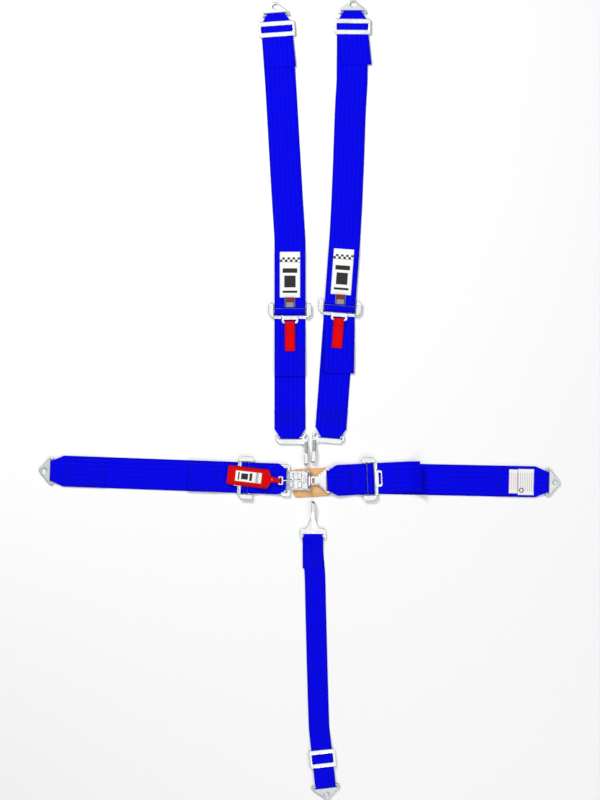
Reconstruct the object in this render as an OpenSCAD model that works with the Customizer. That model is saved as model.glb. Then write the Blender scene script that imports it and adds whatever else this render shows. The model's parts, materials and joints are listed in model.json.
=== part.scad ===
// Five-point racing harness with a latch-and-link buckle, laid out flat.
// Origin: centre of the buckle, on the table. X runs along the lap belts, Y up the
// shoulder belts, Z up. Millimetres.
// Every belt piece is drawn along its own line: s runs along the belt and away from
// the piece that the belt is sewn to, y across the belt, z up.

/* [Webbing] */
// Width of the lap and shoulder webbing
wide_w = 76.2; // [45:0.1:80]
// Width of the crotch webbing
crotch_w = 50.8; // [38:0.1:60]
// Thickness of one layer of webbing
web_t = 1.6; // [1.2:0.1:2]
// Length of a folded and stitched hem on a free end
hem_l = 72; // [30:1:90]

/* [Hardware] */
// Thickness of the stamped steel plates
plate_t = 3; // [2:0.1:4]
// Diameter of the bars that the webbing is looped round
bar_d = 5; // [4:0.1:6]
// Diameter of the mounting bolt holes
bolt_d = 13; // [11:0.1:14]
// Width of a bolt-in bracket
bracket_w = 69; // [60:1:80]
// Overall width of a tilt-lock adjuster
adjuster_w = 105; // [95:1:112]
// Width of an adjuster's crossbar along the belt
crossbar_l = 9; // [7:0.5:12]

/* [Buckle] */
// Length of the latch body
latch_l = 53; // [45:1:60]
// Width of the latch body
latch_w = 47; // [40:1:55]
// Width of the link's tongue
tongue_w = 21.6; // [18:0.1:26]
// Length of the red pull handle
handle_l = 103; // [80:1:120]
// Width of the red pull handle
handle_w = 47; // [35:1:55]
// Length of the leather pad under the buckle
pad_l = 92; // [80:1:110]
// Width of the leather pad under the buckle
pad_w = 70; // [60:1:90]
// Thickness of the leather pad
pad_t = 5.5; // [3:0.1:6]

/* [Layout] */
// Length of the left lap belt from its adjuster to the bolt hole
lap_left_l = 481; // [300:1:700]
// Length of the right lap belt from its adjuster to the bolt hole
lap_right_l = 441; // [300:1:700]
// Length of the left lap belt's free tail
lap_left_tail = 127; // [90:1:200]
// Length of the right lap belt's free tail
lap_right_tail = 112; // [90:1:200]
// Length of a shoulder belt's free tail
shoulder_tail = 146; // [100:1:200]
// Length of the red pull tab on a shoulder adjuster
pull_tab_l = 70; // [50:1:90]
// Part to draw on its own

/* [Hidden] */
$fn = 48;
gap = 0.3;
table = 0.3;
bar_r = bar_d / 2;
loop_r = bar_r + gap + web_t / 2;
// Heights of the layers, at the middle of each
run_z = table + web_t / 2;
second_z = run_z + web_t + gap;
third_z = second_z + web_t - 0.05;
low_bar_z = run_z + loop_r;
rear_bar_z = second_z + loop_r;
latch_bar_z = rear_bar_z + 0.7;
link_z = latch_bar_z + 3.4;
// Adjuster, along s
rear_bar_s = -26;
lock_s = -13.5;
lock_l = 9;
lock_t = 4.4;
lock_z = second_z + web_t / 2 + gap + lock_t / 2;
crossbar_z = second_z + web_t / 2 + 0.4;
tab_z = crossbar_z + 2.4;
wall_y = wide_w / 2 + 2.4;
wall_t = 2.5;
wall_h = 12.5;
tab_slot = [5.5, 29];
tab_out_s = crossbar_l / 2 + 11;
// Bracket, along s from the bolt hole
bracket_bar_s = -20;
bracket_slot_w = 56;
// Three-bar slide heights
slide_low_z = 3.4;
slide_high_z = slide_low_z + web_t + gap;
slide_top_z = slide_high_z + web_t / 2 + gap;
// Places and directions of the belts
lap_left_at = [-175.9, 6.4];
lap_left_dir = 177.9;
lap_right_at = [159.4, 4];
lap_right_dir = 2.8;
lap_right_run_dir = -4;
shoulder_left_at = [-51.7, 401];
shoulder_left_dir = -90;
shoulder_right_at = [69.6, 408.4];
shoulder_right_dir = -94.2;
shoulder_left_low = 295;
shoulder_right_low = 301;
top_left_at = [-87.8, 1163.6];
top_left_dir = 94;
top_right_at = [102.6, 1169.7];
top_right_dir = 89.5;
crotch_at = [4.9, -137];
crotch_end_at = [37.9, -772.4];
crotch_end_dir = -83.7;
latch_y = -0.5;
latch_bar_x = -65;
latch_x = -54.6;
pin_x = -4.6;
pin_z = 17;
rod_end_x = -79;
handle_dir = 173.3;

blue = [0.02, 0.02, 0.95];
red = [0.95, 0.02, 0.03];
steel = [0.78, 0.79, 0.8];
grey_steel = [0.6, 0.62, 0.63];
white = [0.95, 0.95, 0.93];
black = [0.08, 0.08, 0.09];
leather = [0.9, 0.66, 0.42];

// ---------------------------------------------------------------- helpers

// Puts its children on a belt line that starts at p and runs in direction a.
module on_line(p, a) {
  translate([p[0], p[1], 0]) rotate(a) children();
}

function unit(v) = v / norm(v);
function side_of(v) = [-v[1], v[0]];
function heading(p, i) =
  let (a = p[max(i - 1, 0)], b = p[i], c = p[min(i + 1, len(p) - 1)])
  i == 0 ? unit(c - b) : i == len(p) - 1 ? unit(b - a) : unit(unit(b - a) + unit(c - b));
function stretch_at(p, i) =
  i == 0 || i == len(p) - 1 ? 1 : 1 / max(0.5, unit(p[i] - p[i - 1]) * heading(p, i));
function edge_point(p, i, d) = p[i] + side_of(heading(p, i)) * d * stretch_at(p, i);
// The outline of a strip of thickness t that follows the points p.
function strip(p, t) = concat(
  [for (i = [0 : len(p) - 1]) edge_point(p, i, t / 2)],
  [for (i = [len(p) - 1 : -1 : 0]) edge_point(p, i, -t / 2)]
);
function arc(c, r, a, b, n = 12) =
  [for (k = [0 : n]) c + r * [cos(a + (b - a) * k / n), sin(a + (b - a) * k / n)]];

// Extrudes the side view of a belt, drawn in s and z, across the width w.
module across(w) {
  rotate([90, 0, 0]) linear_extrude(w, center = true) children();
}

// The side view of webbing that follows the points p.
module layer(p) {
  polygon(strip(p, web_t));
}

// Side view of an end that comes along s, turns back over a bar at [s, z] and is sewn
// down on itself. base is the height that it comes from, back the sewn length.
module sewn_loop(s, z, base, from, back, ramp = 22) {
  layer(concat([[from, base]], base == z - loop_r ? [] : [[s - ramp, base]],
    arc([s, z], loop_r, -90, 90)));
  layer([[s, z + loop_r], [s - 4, z + loop_r - 0.3], [s - ramp, base + web_t - 0.05],
    [s - back, base + web_t - 0.05]]);
}

// Plan outline of a belt end that narrows from w to tip over the length l, ending at s.
module narrowed(s, w, tip, l, from) {
  linear_extrude(40)
    polygon([[from, -w / 2], [s - l, -w / 2], [s, -tip / 2], [s, tip / 2],
      [s - l, w / 2], [from, w / 2]]);
}

module bar_across(s, z, l, r = bar_r) {
  translate([s, 0, z]) rotate([90, 0, 0]) cylinder(h = l, r = r, center = true);
}

module rounded_plate(l, w, t, r) {
  translate([-l / 2 + r, -w / 2, 0]) cube([l - 2 * r, w, t]);
  translate([-l / 2, -w / 2 + r, 0]) cube([l, w - 2 * r, t]);
  for (i = [-1, 1], j = [-1, 1])
    translate([i * (l / 2 - r), j * (w / 2 - r), 0]) cylinder(h = t, r = r);
}

// ---------------------------------------------------------------- brackets

// Bolt-in bracket: plate with a bolt hole at s = 0 and a slot for the webbing.
module bracket() {
  z0 = low_bar_z - plate_t / 2;
  tip_r = 11.5;
  half = bracket_w / 2;
  slot_far = bracket_bar_s + loop_r + web_t / 2 + 0.7;
  base_s = bracket_bar_s - 4;
  difference() {
    translate([0, 0, z0]) union() {
      cylinder(h = plate_t, r = tip_r);
      linear_extrude(plate_t) polygon([
        [6, 8.8], [bracket_bar_s + 7, half - 2], [bracket_bar_s + 3, half],
        [base_s + 2, half], [base_s, half - 3],
        [base_s, -half + 3], [base_s + 2, -half],
        [bracket_bar_s + 3, -half], [bracket_bar_s + 7, -half + 2], [6, -8.8]
      ]);
    }
    translate([0, 0, z0 - 1]) cylinder(h = plate_t + 2, r = bolt_d / 2);
    translate([bracket_bar_s - 10, -bracket_slot_w / 2 - 1, z0 - 1])
      cube([slot_far - bracket_bar_s + 10, bracket_slot_w + 2, plate_t + 2]);
  }
  bar_across(bracket_bar_s, low_bar_z, bracket_slot_w + 5);
}

// ---------------------------------------------------------------- tilt-lock adjuster

module adjuster_wall() {
  difference() {
    union() {
      translate([rear_bar_s - 7, 0, 3]) cube([crossbar_l / 2 - rear_bar_s + 5, wall_t, wall_h - 3]);
      translate([rear_bar_s + 4, 0, 0.6]) cube([22, wall_t, 4]);
    }
    translate([lock_s - lock_l / 2 - 2, -1, lock_z - lock_t / 2 - 0.4])
      cube([lock_l + 7, wall_t + 2, lock_t + 0.8]);
  }
}

// Frame: crossbar with its tab loop, two walls with outward flanges, and the rear bar.
module adjuster_frame() {
  flange_w = adjuster_w / 2 - wall_y;
  for (m = [0, 1]) mirror([0, m, 0]) {
    translate([0, wall_y, 0]) adjuster_wall();
    difference() {
      translate([rear_bar_s / 2 - 3, wall_y + flange_w / 2, wall_h - 2.5])
        rounded_plate(-rear_bar_s + 9, flange_w, 2.5, 4);
      translate([crossbar_l / 2, wall_y + flange_w + 1, wall_h - 4])
        cylinder(h = 6, r = 9);
    }
  }
  bar_across(rear_bar_s, rear_bar_z, 2 * wall_y + 1);
  translate([0, 0, crossbar_z]) rounded_plate(crossbar_l, 2 * wall_y + 2.4, 2.5, 2);
  translate([0, 0, tab_z]) difference() {
    translate([(tab_out_s - 3) / 2, 0, 0])
      rounded_plate(tab_out_s + 3, tab_slot[1] + 12, 2.5, 5);
    translate([tab_out_s - 3.2 - tab_slot[0] / 2, 0, -1])
      rounded_plate(tab_slot[0], tab_slot[1], 5, 2.2);
  }
  translate([-1, 0, crossbar_z + 2.4]) rounded_plate(3.2, 2 * wall_y, 1.6, 1.4);
}

// Knurled bar that the threaded webbing turns round; its ends ride in the walls.
module adjuster_bar() {
  translate([lock_s, 0, lock_z]) {
    rotate([90, 0, 0]) linear_extrude(wide_w + 3, center = true) {
      square([lock_l - lock_t, lock_t], center = true);
      for (i = [-1, 1]) translate([i * (lock_l - lock_t) / 2, 0]) circle(lock_t / 2);
    }
    rotate([90, 0, 0]) cylinder(h = 2 * wall_y + 2 * wall_t + 4, r = lock_t / 2 - 0.1, center = true);
  }
}

// The bight of webbing that turns round the lock bar and dives under the crossbar.
module adjuster_bight() {
  r = lock_t / 2 + gap + web_t / 2;
  left = lock_s - lock_l / 2 + lock_t / 2;
  right = lock_s + lock_l / 2 - lock_t / 2;
  across(wide_w) layer(concat(
    [[right + 2.5, lock_z - r]],
    arc([left, lock_z], r, 270, 90, 14),
    arc([right + 0.3, lock_z], r, 90, 10, 7),
    [[right + r + 1.5, lock_z - 2.2], [right + r + 2.9, second_z + 0.3]],
    [[right + r + 4.4, second_z]]
  ));
}

// Free end of the threaded webbing, on top of the belt; lift raises its last part.
module adjuster_tail(length, lift = 0) {
  flat_z = second_z + 2;
  start = 0.8;
  bend_s = length - hem_l * 0.55;
  across(wide_w) {
    layer(concat(
      [[start, second_z], [tab_out_s + 4, second_z], [tab_out_s + 24, flat_z]],
      lift > 0
        ? [[bend_s, flat_z], [bend_s + 14, flat_z + 1.5], [length - 12, flat_z + lift * 0.55],
            [length - 5, flat_z + lift * 0.8], [length - 3, flat_z + lift]]
        : [[length, flat_z]]
    ));
    if (lift == 0)
      layer([[length - hem_l, flat_z + web_t - 0.05], [length, flat_z + web_t - 0.05]]);
  }
}

// ---------------------------------------------------------------- three-bar slide

// Outer frame above both layers of webbing, middle bar below them.
module slide(inner_w, outer_w, l, window_l, rail_l = 8) {
  translate([0, 0, slide_top_z]) difference() {
    rounded_plate(l, outer_w, 2.5, 5);
    translate([0, 0, -1]) rounded_plate(window_l, inner_w, 5, 2);
  }
  rail = (outer_w - inner_w) / 2;
  for (j = [-1, 1])
    translate([-rail_l / 2, j * (inner_w + rail) / 2 - rail / 2, table])
      cube([rail_l, rail, slide_top_z - table + 1]);
  translate([-rail_l / 2, -outer_w / 2 + 1, table]) cube([rail_l, outer_w - 2, 2]);
}

// ---------------------------------------------------------------- belt end fittings

// Loop that slips over the link's tongue, standing on edge; s runs towards its end.
module tongue_loop(from, to, thick, high, hole_l, hole_h) {
  z = table + high / 2;
  end_s = to - hole_h / 2 - (high - hole_h) / 2;
  start_s = to - hole_l - (high - hole_h);
  rotate([90, 0, 0]) linear_extrude(thick, center = true) difference() {
    union() {
      translate([end_s, z]) circle(high / 2);
      translate([start_s + high / 2, z - high / 2]) square([end_s - start_s - high / 2, high]);
      polygon([[start_s + high / 2, z - high / 2], [start_s + high / 2, z + high / 2],
        [from, low_bar_z + plate_t / 2], [from, low_bar_z - plate_t / 2]]);
    }
    translate([to - (high - hole_h) / 2 - hole_h / 2, z]) circle(hole_h / 2);
    translate([to - (high - hole_h) / 2 - hole_l + hole_h / 2, z]) circle(hole_h / 2);
    translate([to - (high - hole_h) / 2 - hole_l + hole_h / 2, z - hole_h / 2])
      square([hole_l - hole_h, hole_h]);
  }
}

// Shoulder fitting: slot frame for the webbing and an edge-on loop beside it.
// side is 1 or -1, the side that the loop is on; offset its distance from the belt line.
module shoulder_fitting(side, offset) {
  z0 = low_bar_z - plate_t / 2;
  arm_y = 29.5;
  rim_s = 5.4;
  rim_l = 12;
  bar_across(0, low_bar_z, 2 * arm_y + 2);
  translate([0, 0, z0]) {
    for (j = [-1, 1])
      translate([rim_s / 2 + 1.5, j * (arm_y + 2.5), 0]) rounded_plate(rim_s + 10, 6, plate_t, 2.9);
    translate([rim_s + rim_l / 2, side * 5, 0])
      rounded_plate(rim_l, 2 * arm_y + 11, plate_t, 5.5);
    translate([rim_s + rim_l / 2 + 1, side * (offset - 2.5), 0])
      rounded_plate(rim_l + 6, 14, plate_t, 6);
    difference() {
      translate([1.6, side * (offset + 0.5), 0]) rounded_plate(16, 14, plate_t, 6);
      translate([0.5, side * (offset + 0.5), -1]) rounded_plate(9, 5, plate_t + 2, 2.4);
    }
  }
  translate([0, side * (offset + 1), 0]) tongue_loop(rim_s + 6, 69, 9, 19, 28, 9);
}

// Crotch fitting: slot plate, cone and edge-on loop in line with the belt.
module crotch_fitting_body() {
  z0 = low_bar_z - plate_t / 2;
  plate_w = 64;
  slot_w = 51;
  slot_far = loop_r + web_t / 2 + 0.7;
  translate([0, 0, z0]) difference() {
    translate([4.5, 0, 0]) rounded_plate(29, plate_w, plate_t, 9);
    translate([-20, -slot_w / 2 - 1, -1]) cube([20 + slot_far, slot_w + 2, plate_t + 2]);
  }
  bar_across(0, low_bar_z, slot_w + 3);
  translate([0, 0, z0]) linear_extrude(plate_t)
    polygon([[17, -18], [17, 18], [30, 10], [44, 6], [44, -6], [30, -10]]);
  tongue_loop(20, 86, 8, 19, 28, 9);
}

module crotch_fitting() {
  color(steel) on_line(crotch_at, 90) crotch_fitting_body();
}

// ---------------------------------------------------------------- buckle

module buckle_pad() {
  color(leather) translate([1.8, -6.1, 0]) rotate(3)
    rounded_plate(pad_l, pad_w, pad_t, 9);
}

// Base plate with four windows, side walls, pin blocks and the bar for the webbing.
module latch_body() {
  base_t = 2.8;
  base_z = latch_bar_z - base_t / 2;
  window = [10, 15];
  window_floor = 1;
  arm_w = 8;
  color(steel) translate([0, latch_y, 0]) {
    difference() {
      translate([latch_x, -latch_w / 2, base_z]) cube([latch_l, latch_w, base_t]);
      for (x = [latch_x + 6, latch_x + 27], y = [-10.5, 10.5])
        translate([x, y, base_z + window_floor]) rounded_plate(window[0], window[1], base_t, 1.5);
    }
    for (m = [0, 1]) mirror([0, m, 0]) {
      translate([latch_x, latch_w / 2 - 2.5, base_z]) cube([latch_l - 1, 2.5, 8]);
      difference() {
        translate([latch_x + latch_l - 11, latch_w / 2 - 2.5, base_z]) cube([11, 2.5, 16.5]);
        translate([pin_x, latch_w / 2 - 4, pin_z])
          rotate([-90, 0, 0]) cylinder(h = 6, r = 2.7);
      }
      translate([latch_bar_x + 2, 35, base_z]) rounded_plate(22, arm_w, base_t, 3.9);
      translate([latch_x - 3, 20, base_z]) cube([6, 17, base_t]);
    }
    translate([latch_bar_x, 0, 0]) rotate(lap_left_dir - 180)
      bar_across(0, latch_bar_z, 66);
    translate([latch_x, -latch_w / 2, base_z]) cube([2, latch_w, 5]);
  }
}

module latch_pin() {
  color(grey_steel) translate([pin_x, latch_y, pin_z]) rotate([90, 0, 0]) {
    cylinder(h = latch_w + 3, r = 2.4, center = true);
    for (j = [-1, 1]) translate([0, 0, j * (latch_w / 2 + 1.2)])
      cylinder(h = 2, r = 4, center = true);
  }
}

// Torsion spring on the pin: two coils, drawn as a stack of rings, and a leg.
module latch_spring() {
  wire = 1.2;
  color(grey_steel) translate([pin_x, latch_y, pin_z]) {
    for (m = [0, 1], k = [0 : 3])
      mirror([0, m, 0]) translate([0, 14 + k * wire * 0.97, 0]) rotate([90, 0, 0])
        rotate_extrude() translate([3.4, 0]) circle(wire / 2, $fn = 10);
  }
}

// Lever: barrel on the pin, looped pawl over the tongue, and a rod to the pull handle.
module latch_lever() {
  loop_l = 12;
  loop_w = 22;
  loop_x = pin_x - 10;
  ring_r = 4.5;
  color(steel) translate([0, latch_y, 0]) {
    difference() {
      union() {
        translate([pin_x, 0, pin_z]) rotate([90, 0, 0])
          cylinder(h = 24, r = 4.3, center = true);
        translate([loop_x - 1, 0, pin_z - 1.5]) rounded_plate(loop_l + 3, loop_w, 3, 3);
        translate([loop_x - 7, -3, pin_z - 1.5]) cube([6, 6, 3]);
      }
      translate([loop_x - 1, 0, pin_z - 3]) rounded_plate(loop_l - 6, loop_w - 8, 6, 2);
      translate([pin_x, 0, pin_z]) rotate([90, 0, 0])
        cylinder(h = 30, r = 2.7, center = true);
    }
    translate([loop_x - 5, -5, link_z + plate_t / 2 + 0.5])
      cube([3, 10, pin_z - link_z - plate_t / 2]);
    translate([rod_end_x + 2 * ring_r, 0, pin_z]) rotate([0, 90, 0])
      cylinder(h = loop_x - 6 - rod_end_x - 2 * ring_r, r = 2);
    translate([rod_end_x + ring_r, 0, pin_z]) {
      for (j = [-1, 1]) translate([-0.5, j * 9, -1.5]) rounded_plate(11.5, 3.2, 3, 1.5);
      translate([ring_r - 0.5, 0, -1.5]) rounded_plate(4, 21, 3, 1.5);
    }
    translate([rod_end_x, 0, pin_z]) rotate([90, 0, 0]) cylinder(h = 21, r = 1.7, center = true);
  }
}

handle_t = 2.4;
handle_z = pin_z - 3.4;

// Folded red webbing handle; its neck turns over the end bar of the lever.
module latch_handle() {
  neck = 12;
  eye_r = 1.7 + 2 * gap + handle_t / 2;
  color(red) on_line([rod_end_x, latch_y], handle_dir) {
    translate([0, 0, handle_z]) linear_extrude(handle_t)
      polygon([[neck - 3, -6], [24, -9], [24, -handle_w / 2 + 4], [28, -handle_w / 2],
        [handle_l + 22, -handle_w / 2], [handle_l + 25, -handle_w / 2 + 4],
        [handle_l + 25, handle_w / 2 - 4], [handle_l + 22, handle_w / 2],
        [28, handle_w / 2], [24, handle_w / 2 - 4], [24, 9], [neck - 3, 6]]);
    across(10) polygon(strip(concat([[neck, handle_z + 1.2], [6, handle_z + 1.1]],
      arc([0, pin_z], eye_r, -90, -270, 12), [[7, pin_z + 2.2], [neck + 6, handle_z + 2.9]]),
      handle_t * 0.8));
  }
}

module handle_label() {
  color(white) on_line([rod_end_x, latch_y], handle_dir)
    translate([75, 0, handle_z + handle_t + 0.05]) rounded_plate(64, 26, 0.6, 1);
}

module latch_strap() {
  end_s = latch_bar_x - lap_left_at[0];
  color(blue) on_line(lap_left_at, lap_left_dir) intersection() {
    across(wide_w) {
      sewn_loop(rear_bar_s, rear_bar_z, second_z, -70, 50);
      mirror([1, 0]) sewn_loop(end_s, latch_bar_z, latch_bar_z - loop_r, 60, 46);
    }
    mirror([1, 0, 0]) narrowed(end_s + loop_r + 1, wide_w, 51, 18, 20);
  }
}

// Link: tongue with raised rims, flared plate and the slot for its strap.
module link() {
  tail_x = 44;
  flare_w = 60;
  half = tongue_w / 2;
  z0 = link_z - plate_t / 2;
  slot_x = tail_x - loop_r - web_t / 2 - 2;
  color(steel) translate([0, latch_y, 0]) {
    translate([0, 0, z0]) linear_extrude(plate_t) difference() {
      polygon([[-18, -half + 4], [-14, -half], [17, -half], [slot_x - 2, -flare_w / 2 + 2],
        [slot_x, -flare_w / 2], [tail_x + 2, -flare_w / 2], [tail_x + 2, flare_w / 2],
        [slot_x, flare_w / 2], [slot_x - 2, flare_w / 2 - 2], [17, half],
        [-14, half], [-18, half - 4]]);
      translate([slot_x, -26]) square([20, 52]);
      translate([-12, -5.5]) square([8, 11]);
      translate([3, -5.5]) square([5, 11]);
    }
    for (m = [0, 1]) mirror([0, m, 0]) translate([0, half - 2.4, z0])
      cube([18, 2.4, plate_t + 2]);
    for (m = [0, 1]) mirror([0, m, 0]) translate([0, 0, z0]) linear_extrude(plate_t + 2)
      polygon([[18, half - 2.4], [slot_x - 3, flare_w / 2 - 5], [slot_x - 2, flare_w / 2 - 2],
        [17, half]]);
    translate([tail_x, 0, 0]) rotate(lap_right_dir) bar_across(0, link_z, 54);
  }
}

module link_strap() {
  end_s = lap_right_at[0] - 44;
  color(blue) on_line(lap_right_at, lap_right_dir) intersection() {
    across(wide_w) {
      sewn_loop(rear_bar_s, rear_bar_z, second_z, -62, 34);
      layer([[-62, second_z], [-80, second_z + 1]]);
      mirror([1, 0]) sewn_loop(end_s, link_z, second_z + 1, 80, 50, 30);
    }
    mirror([1, 0, 0]) narrowed(end_s + loop_r + 1, wide_w, 48, 24, 20);
  }
}

// ---------------------------------------------------------------- lap belts

// Belt from its adjuster to a bracket whose bolt hole is at s = length.
module lap_run(length, sewn, angle = 0) {
  bar_s = length + bracket_bar_s;
  intersection() {
    rotate(angle) across(wide_w)
      sewn_loop(bar_s, low_bar_z, run_z, angle == 0 ? -5 : 3, sewn);
    rotate(angle) narrowed(bar_s + loop_r + 1, wide_w, 48, 32, -20);
  }
}

module lap_left_frame() { color(steel) on_line(lap_left_at, lap_left_dir) adjuster_frame(); }
module lap_left_bar() { color(grey_steel) on_line(lap_left_at, lap_left_dir) adjuster_bar(); }
module lap_left_bight() { color(blue) on_line(lap_left_at, lap_left_dir) adjuster_bight(); }
module lap_left_tail() {
  color(blue) on_line(lap_left_at, lap_left_dir) adjuster_tail(lap_left_tail);
}
module lap_left_webbing() {
  color(blue) on_line(lap_left_at, lap_left_dir) lap_run(lap_left_l, 132);
}
module lap_left_bracket() {
  color(grey_steel) on_line(lap_left_at, lap_left_dir) translate([lap_left_l, 0, 0]) bracket();
}

module lap_right_frame() { color(steel) on_line(lap_right_at, lap_right_dir) adjuster_frame(); }
module lap_right_bar() { color(grey_steel) on_line(lap_right_at, lap_right_dir) adjuster_bar(); }
module lap_right_bight() { color(blue) on_line(lap_right_at, lap_right_dir) adjuster_bight(); }
module lap_right_tail() {
  color(blue) on_line(lap_right_at, lap_right_dir) adjuster_tail(lap_right_tail, 26);
}
module lap_right_webbing() {
  color(blue) on_line(lap_right_at, lap_right_dir) {
    lap_run(lap_right_l, 132, lap_right_run_dir);
    across(wide_w) layer([[-5, run_z], [14, run_z]]);
  }
}
module lap_right_bracket() {
  color(grey_steel) on_line(lap_right_at, lap_right_dir + lap_right_run_dir)
    translate([lap_right_l, 0, 0]) bracket();
}

// Two woven labels sewn on the right lap belt, one plain and one with a ring.
module spec_label() {
  color(white) on_line(lap_right_at, lap_right_dir + lap_right_run_dir)
    translate([0, 0, run_z + 1.5 * web_t]) {
      translate([338, 0, 0]) rounded_plate(21, 59, 0.6, 1);
      translate([369, -1, 0]) rounded_plate(39, 64, 0.6, 1);
    }
}

// ---------------------------------------------------------------- shoulder belts

// Lower belt from an adjuster to the fitting's bar at s = length.
module shoulder_run(length) {
  intersection() {
    across(wide_w) sewn_loop(length, low_bar_z, run_z, -5, 68);
    narrowed(length + loop_r + 1, wide_w, 45, 23, -20);
  }
}

module red_tab() {
  bar_s = tab_out_s - 1.6;
  eye_r = 3;
  tape_t = 1.3;
  z = tab_z + 1.25;
  flat_z = second_z + 6;
  across(25.5) {
    polygon(strip(concat([[bar_s + pull_tab_l, flat_z], [bar_s + 9, flat_z]],
      arc([bar_s, z], eye_r, 75, 285, 14), [[bar_s + 3.4, z - 1.7]]), tape_t));
    polygon(strip([[bar_s + 12, flat_z + tape_t - 0.05],
      [bar_s + pull_tab_l, flat_z + tape_t - 0.05]], tape_t));
  }
}

// Upper belt: sewn round the adjuster's rear bar, then flat along the points of mid,
// then through the slide and round the bracket's bar, its end back through the slide.
module shoulder_upper(at, dir, top_at, top_dir, mid, tail_end) {
  on_line(at, dir) across(wide_w) {
    sewn_loop(rear_bar_s, rear_bar_z, second_z, -165, 136, 18);
    layer([[-164, second_z], [-190, run_z], [-200, run_z]]);
  }
  translate([0, 0, table]) linear_extrude(web_t) polygon(strip(mid, wide_w));
  on_line(top_at, top_dir) intersection() {
    across(wide_w) {
      layer(concat([[-190, run_z], [-170, run_z], [-150, slide_low_z], [-42, slide_low_z],
        [-30, run_z + 0.2]], arc([bracket_bar_s, low_bar_z], loop_r, -90, 90),
        [[-27, slide_high_z + 1.4], [-38, slide_high_z], [tail_end, slide_high_z]]));
    }
    narrowed(bracket_bar_s + loop_r + 1, wide_w, 42, 26, -200);
  }
}

left_mid = [[-51.7, 570], [-52.5, 610], [-58, 690], [-64.5, 800], [-72, 930],
  [-76.5, 1002]];
right_mid = [[81.5, 570], [84.2, 608], [87.5, 669], [92.5, 787], [96.5, 905], [101.2, 1002]];

module shoulder_left_fitting() {
  color(steel) on_line(shoulder_left_at, shoulder_left_dir)
    translate([shoulder_left_low, 0, 0]) shoulder_fitting(1, 38);
}
module shoulder_left_webbing() {
  color(blue) on_line(shoulder_left_at, shoulder_left_dir) shoulder_run(shoulder_left_low);
}
module shoulder_left_frame() {
  color(steel) on_line(shoulder_left_at, shoulder_left_dir) adjuster_frame();
}
module shoulder_left_bar() {
  color(grey_steel) on_line(shoulder_left_at, shoulder_left_dir) adjuster_bar();
}
module shoulder_left_bight() {
  color(blue) on_line(shoulder_left_at, shoulder_left_dir) adjuster_bight();
}
module shoulder_left_tail() {
  color(blue) on_line(shoulder_left_at, shoulder_left_dir) adjuster_tail(shoulder_tail);
}
module shoulder_left_tab() {
  color(red) on_line(shoulder_left_at, shoulder_left_dir) red_tab();
}
module shoulder_left_upper() {
  color(blue) shoulder_upper(shoulder_left_at, shoulder_left_dir, top_left_at, top_left_dir,
    left_mid, -150);
}

// Woven label at the adjuster end of an upper belt, and the small folded tag below it.
module belt_label() {
  translate([-104, 0, third_z + web_t / 2 + 0.05]) rounded_plate(112, 50, 0.6, 1);
}
module belt_tag() {
  translate([-36, 0, rear_bar_z + loop_r + web_t / 2 + 0.1]) rounded_plate(24, 25, 1.2, 1);
}

module shoulder_left_label() {
  color(white) on_line(shoulder_left_at, shoulder_left_dir) belt_label();
}
module shoulder_left_tag() {
  color(black) on_line(shoulder_left_at, shoulder_left_dir) belt_tag();
}
module shoulder_left_slide() {
  color(steel) on_line(top_left_at, top_left_dir)
    translate([-55, 0, 0]) slide(wide_w + 1.2, 90, 38, 16);
}
module shoulder_left_bracket() {
  color(grey_steel) on_line(top_left_at, top_left_dir) bracket();
}

module shoulder_right_fitting() {
  color(steel) on_line(shoulder_right_at, shoulder_right_dir)
    translate([shoulder_right_low, 0, 0]) shoulder_fitting(-1, 37);
}
module shoulder_right_webbing() {
  color(blue) on_line(shoulder_right_at, shoulder_right_dir) shoulder_run(shoulder_right_low);
}
module shoulder_right_frame() {
  color(steel) on_line(shoulder_right_at, shoulder_right_dir) adjuster_frame();
}
module shoulder_right_bar() {
  color(grey_steel) on_line(shoulder_right_at, shoulder_right_dir) adjuster_bar();
}
module shoulder_right_bight() {
  color(blue) on_line(shoulder_right_at, shoulder_right_dir) adjuster_bight();
}
module shoulder_right_tail() {
  color(blue) on_line(shoulder_right_at, shoulder_right_dir) rotate(3.5)
    adjuster_tail(shoulder_tail);
}
module shoulder_right_tab() {
  color(red) on_line(shoulder_right_at, shoulder_right_dir) red_tab();
}
module shoulder_right_upper() {
  color(blue) shoulder_upper(shoulder_right_at, shoulder_right_dir, top_right_at,
    top_right_dir, right_mid, -148);
}
module shoulder_right_label() {
  color(white) on_line(shoulder_right_at, shoulder_right_dir) belt_label();
}
module shoulder_right_tag() {
  color(black) on_line(shoulder_right_at, shoulder_right_dir) belt_tag();
}
module shoulder_right_slide() {
  color(steel) on_line(top_right_at, top_right_dir)
    translate([-55, 0, 0]) slide(wide_w + 1.2, 90, 38, 16);
}
module shoulder_right_bracket() {
  color(grey_steel) on_line(top_right_at, top_right_dir) bracket();
}

// ---------------------------------------------------------------- crotch belt

crotch_mid = [[4.9, -150], [9.8, -233.7], [12.3, -344.4], [14.8, -442.8], [17.2, -528.9],
  [19.7, -590], [21.6, -622]];

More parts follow.
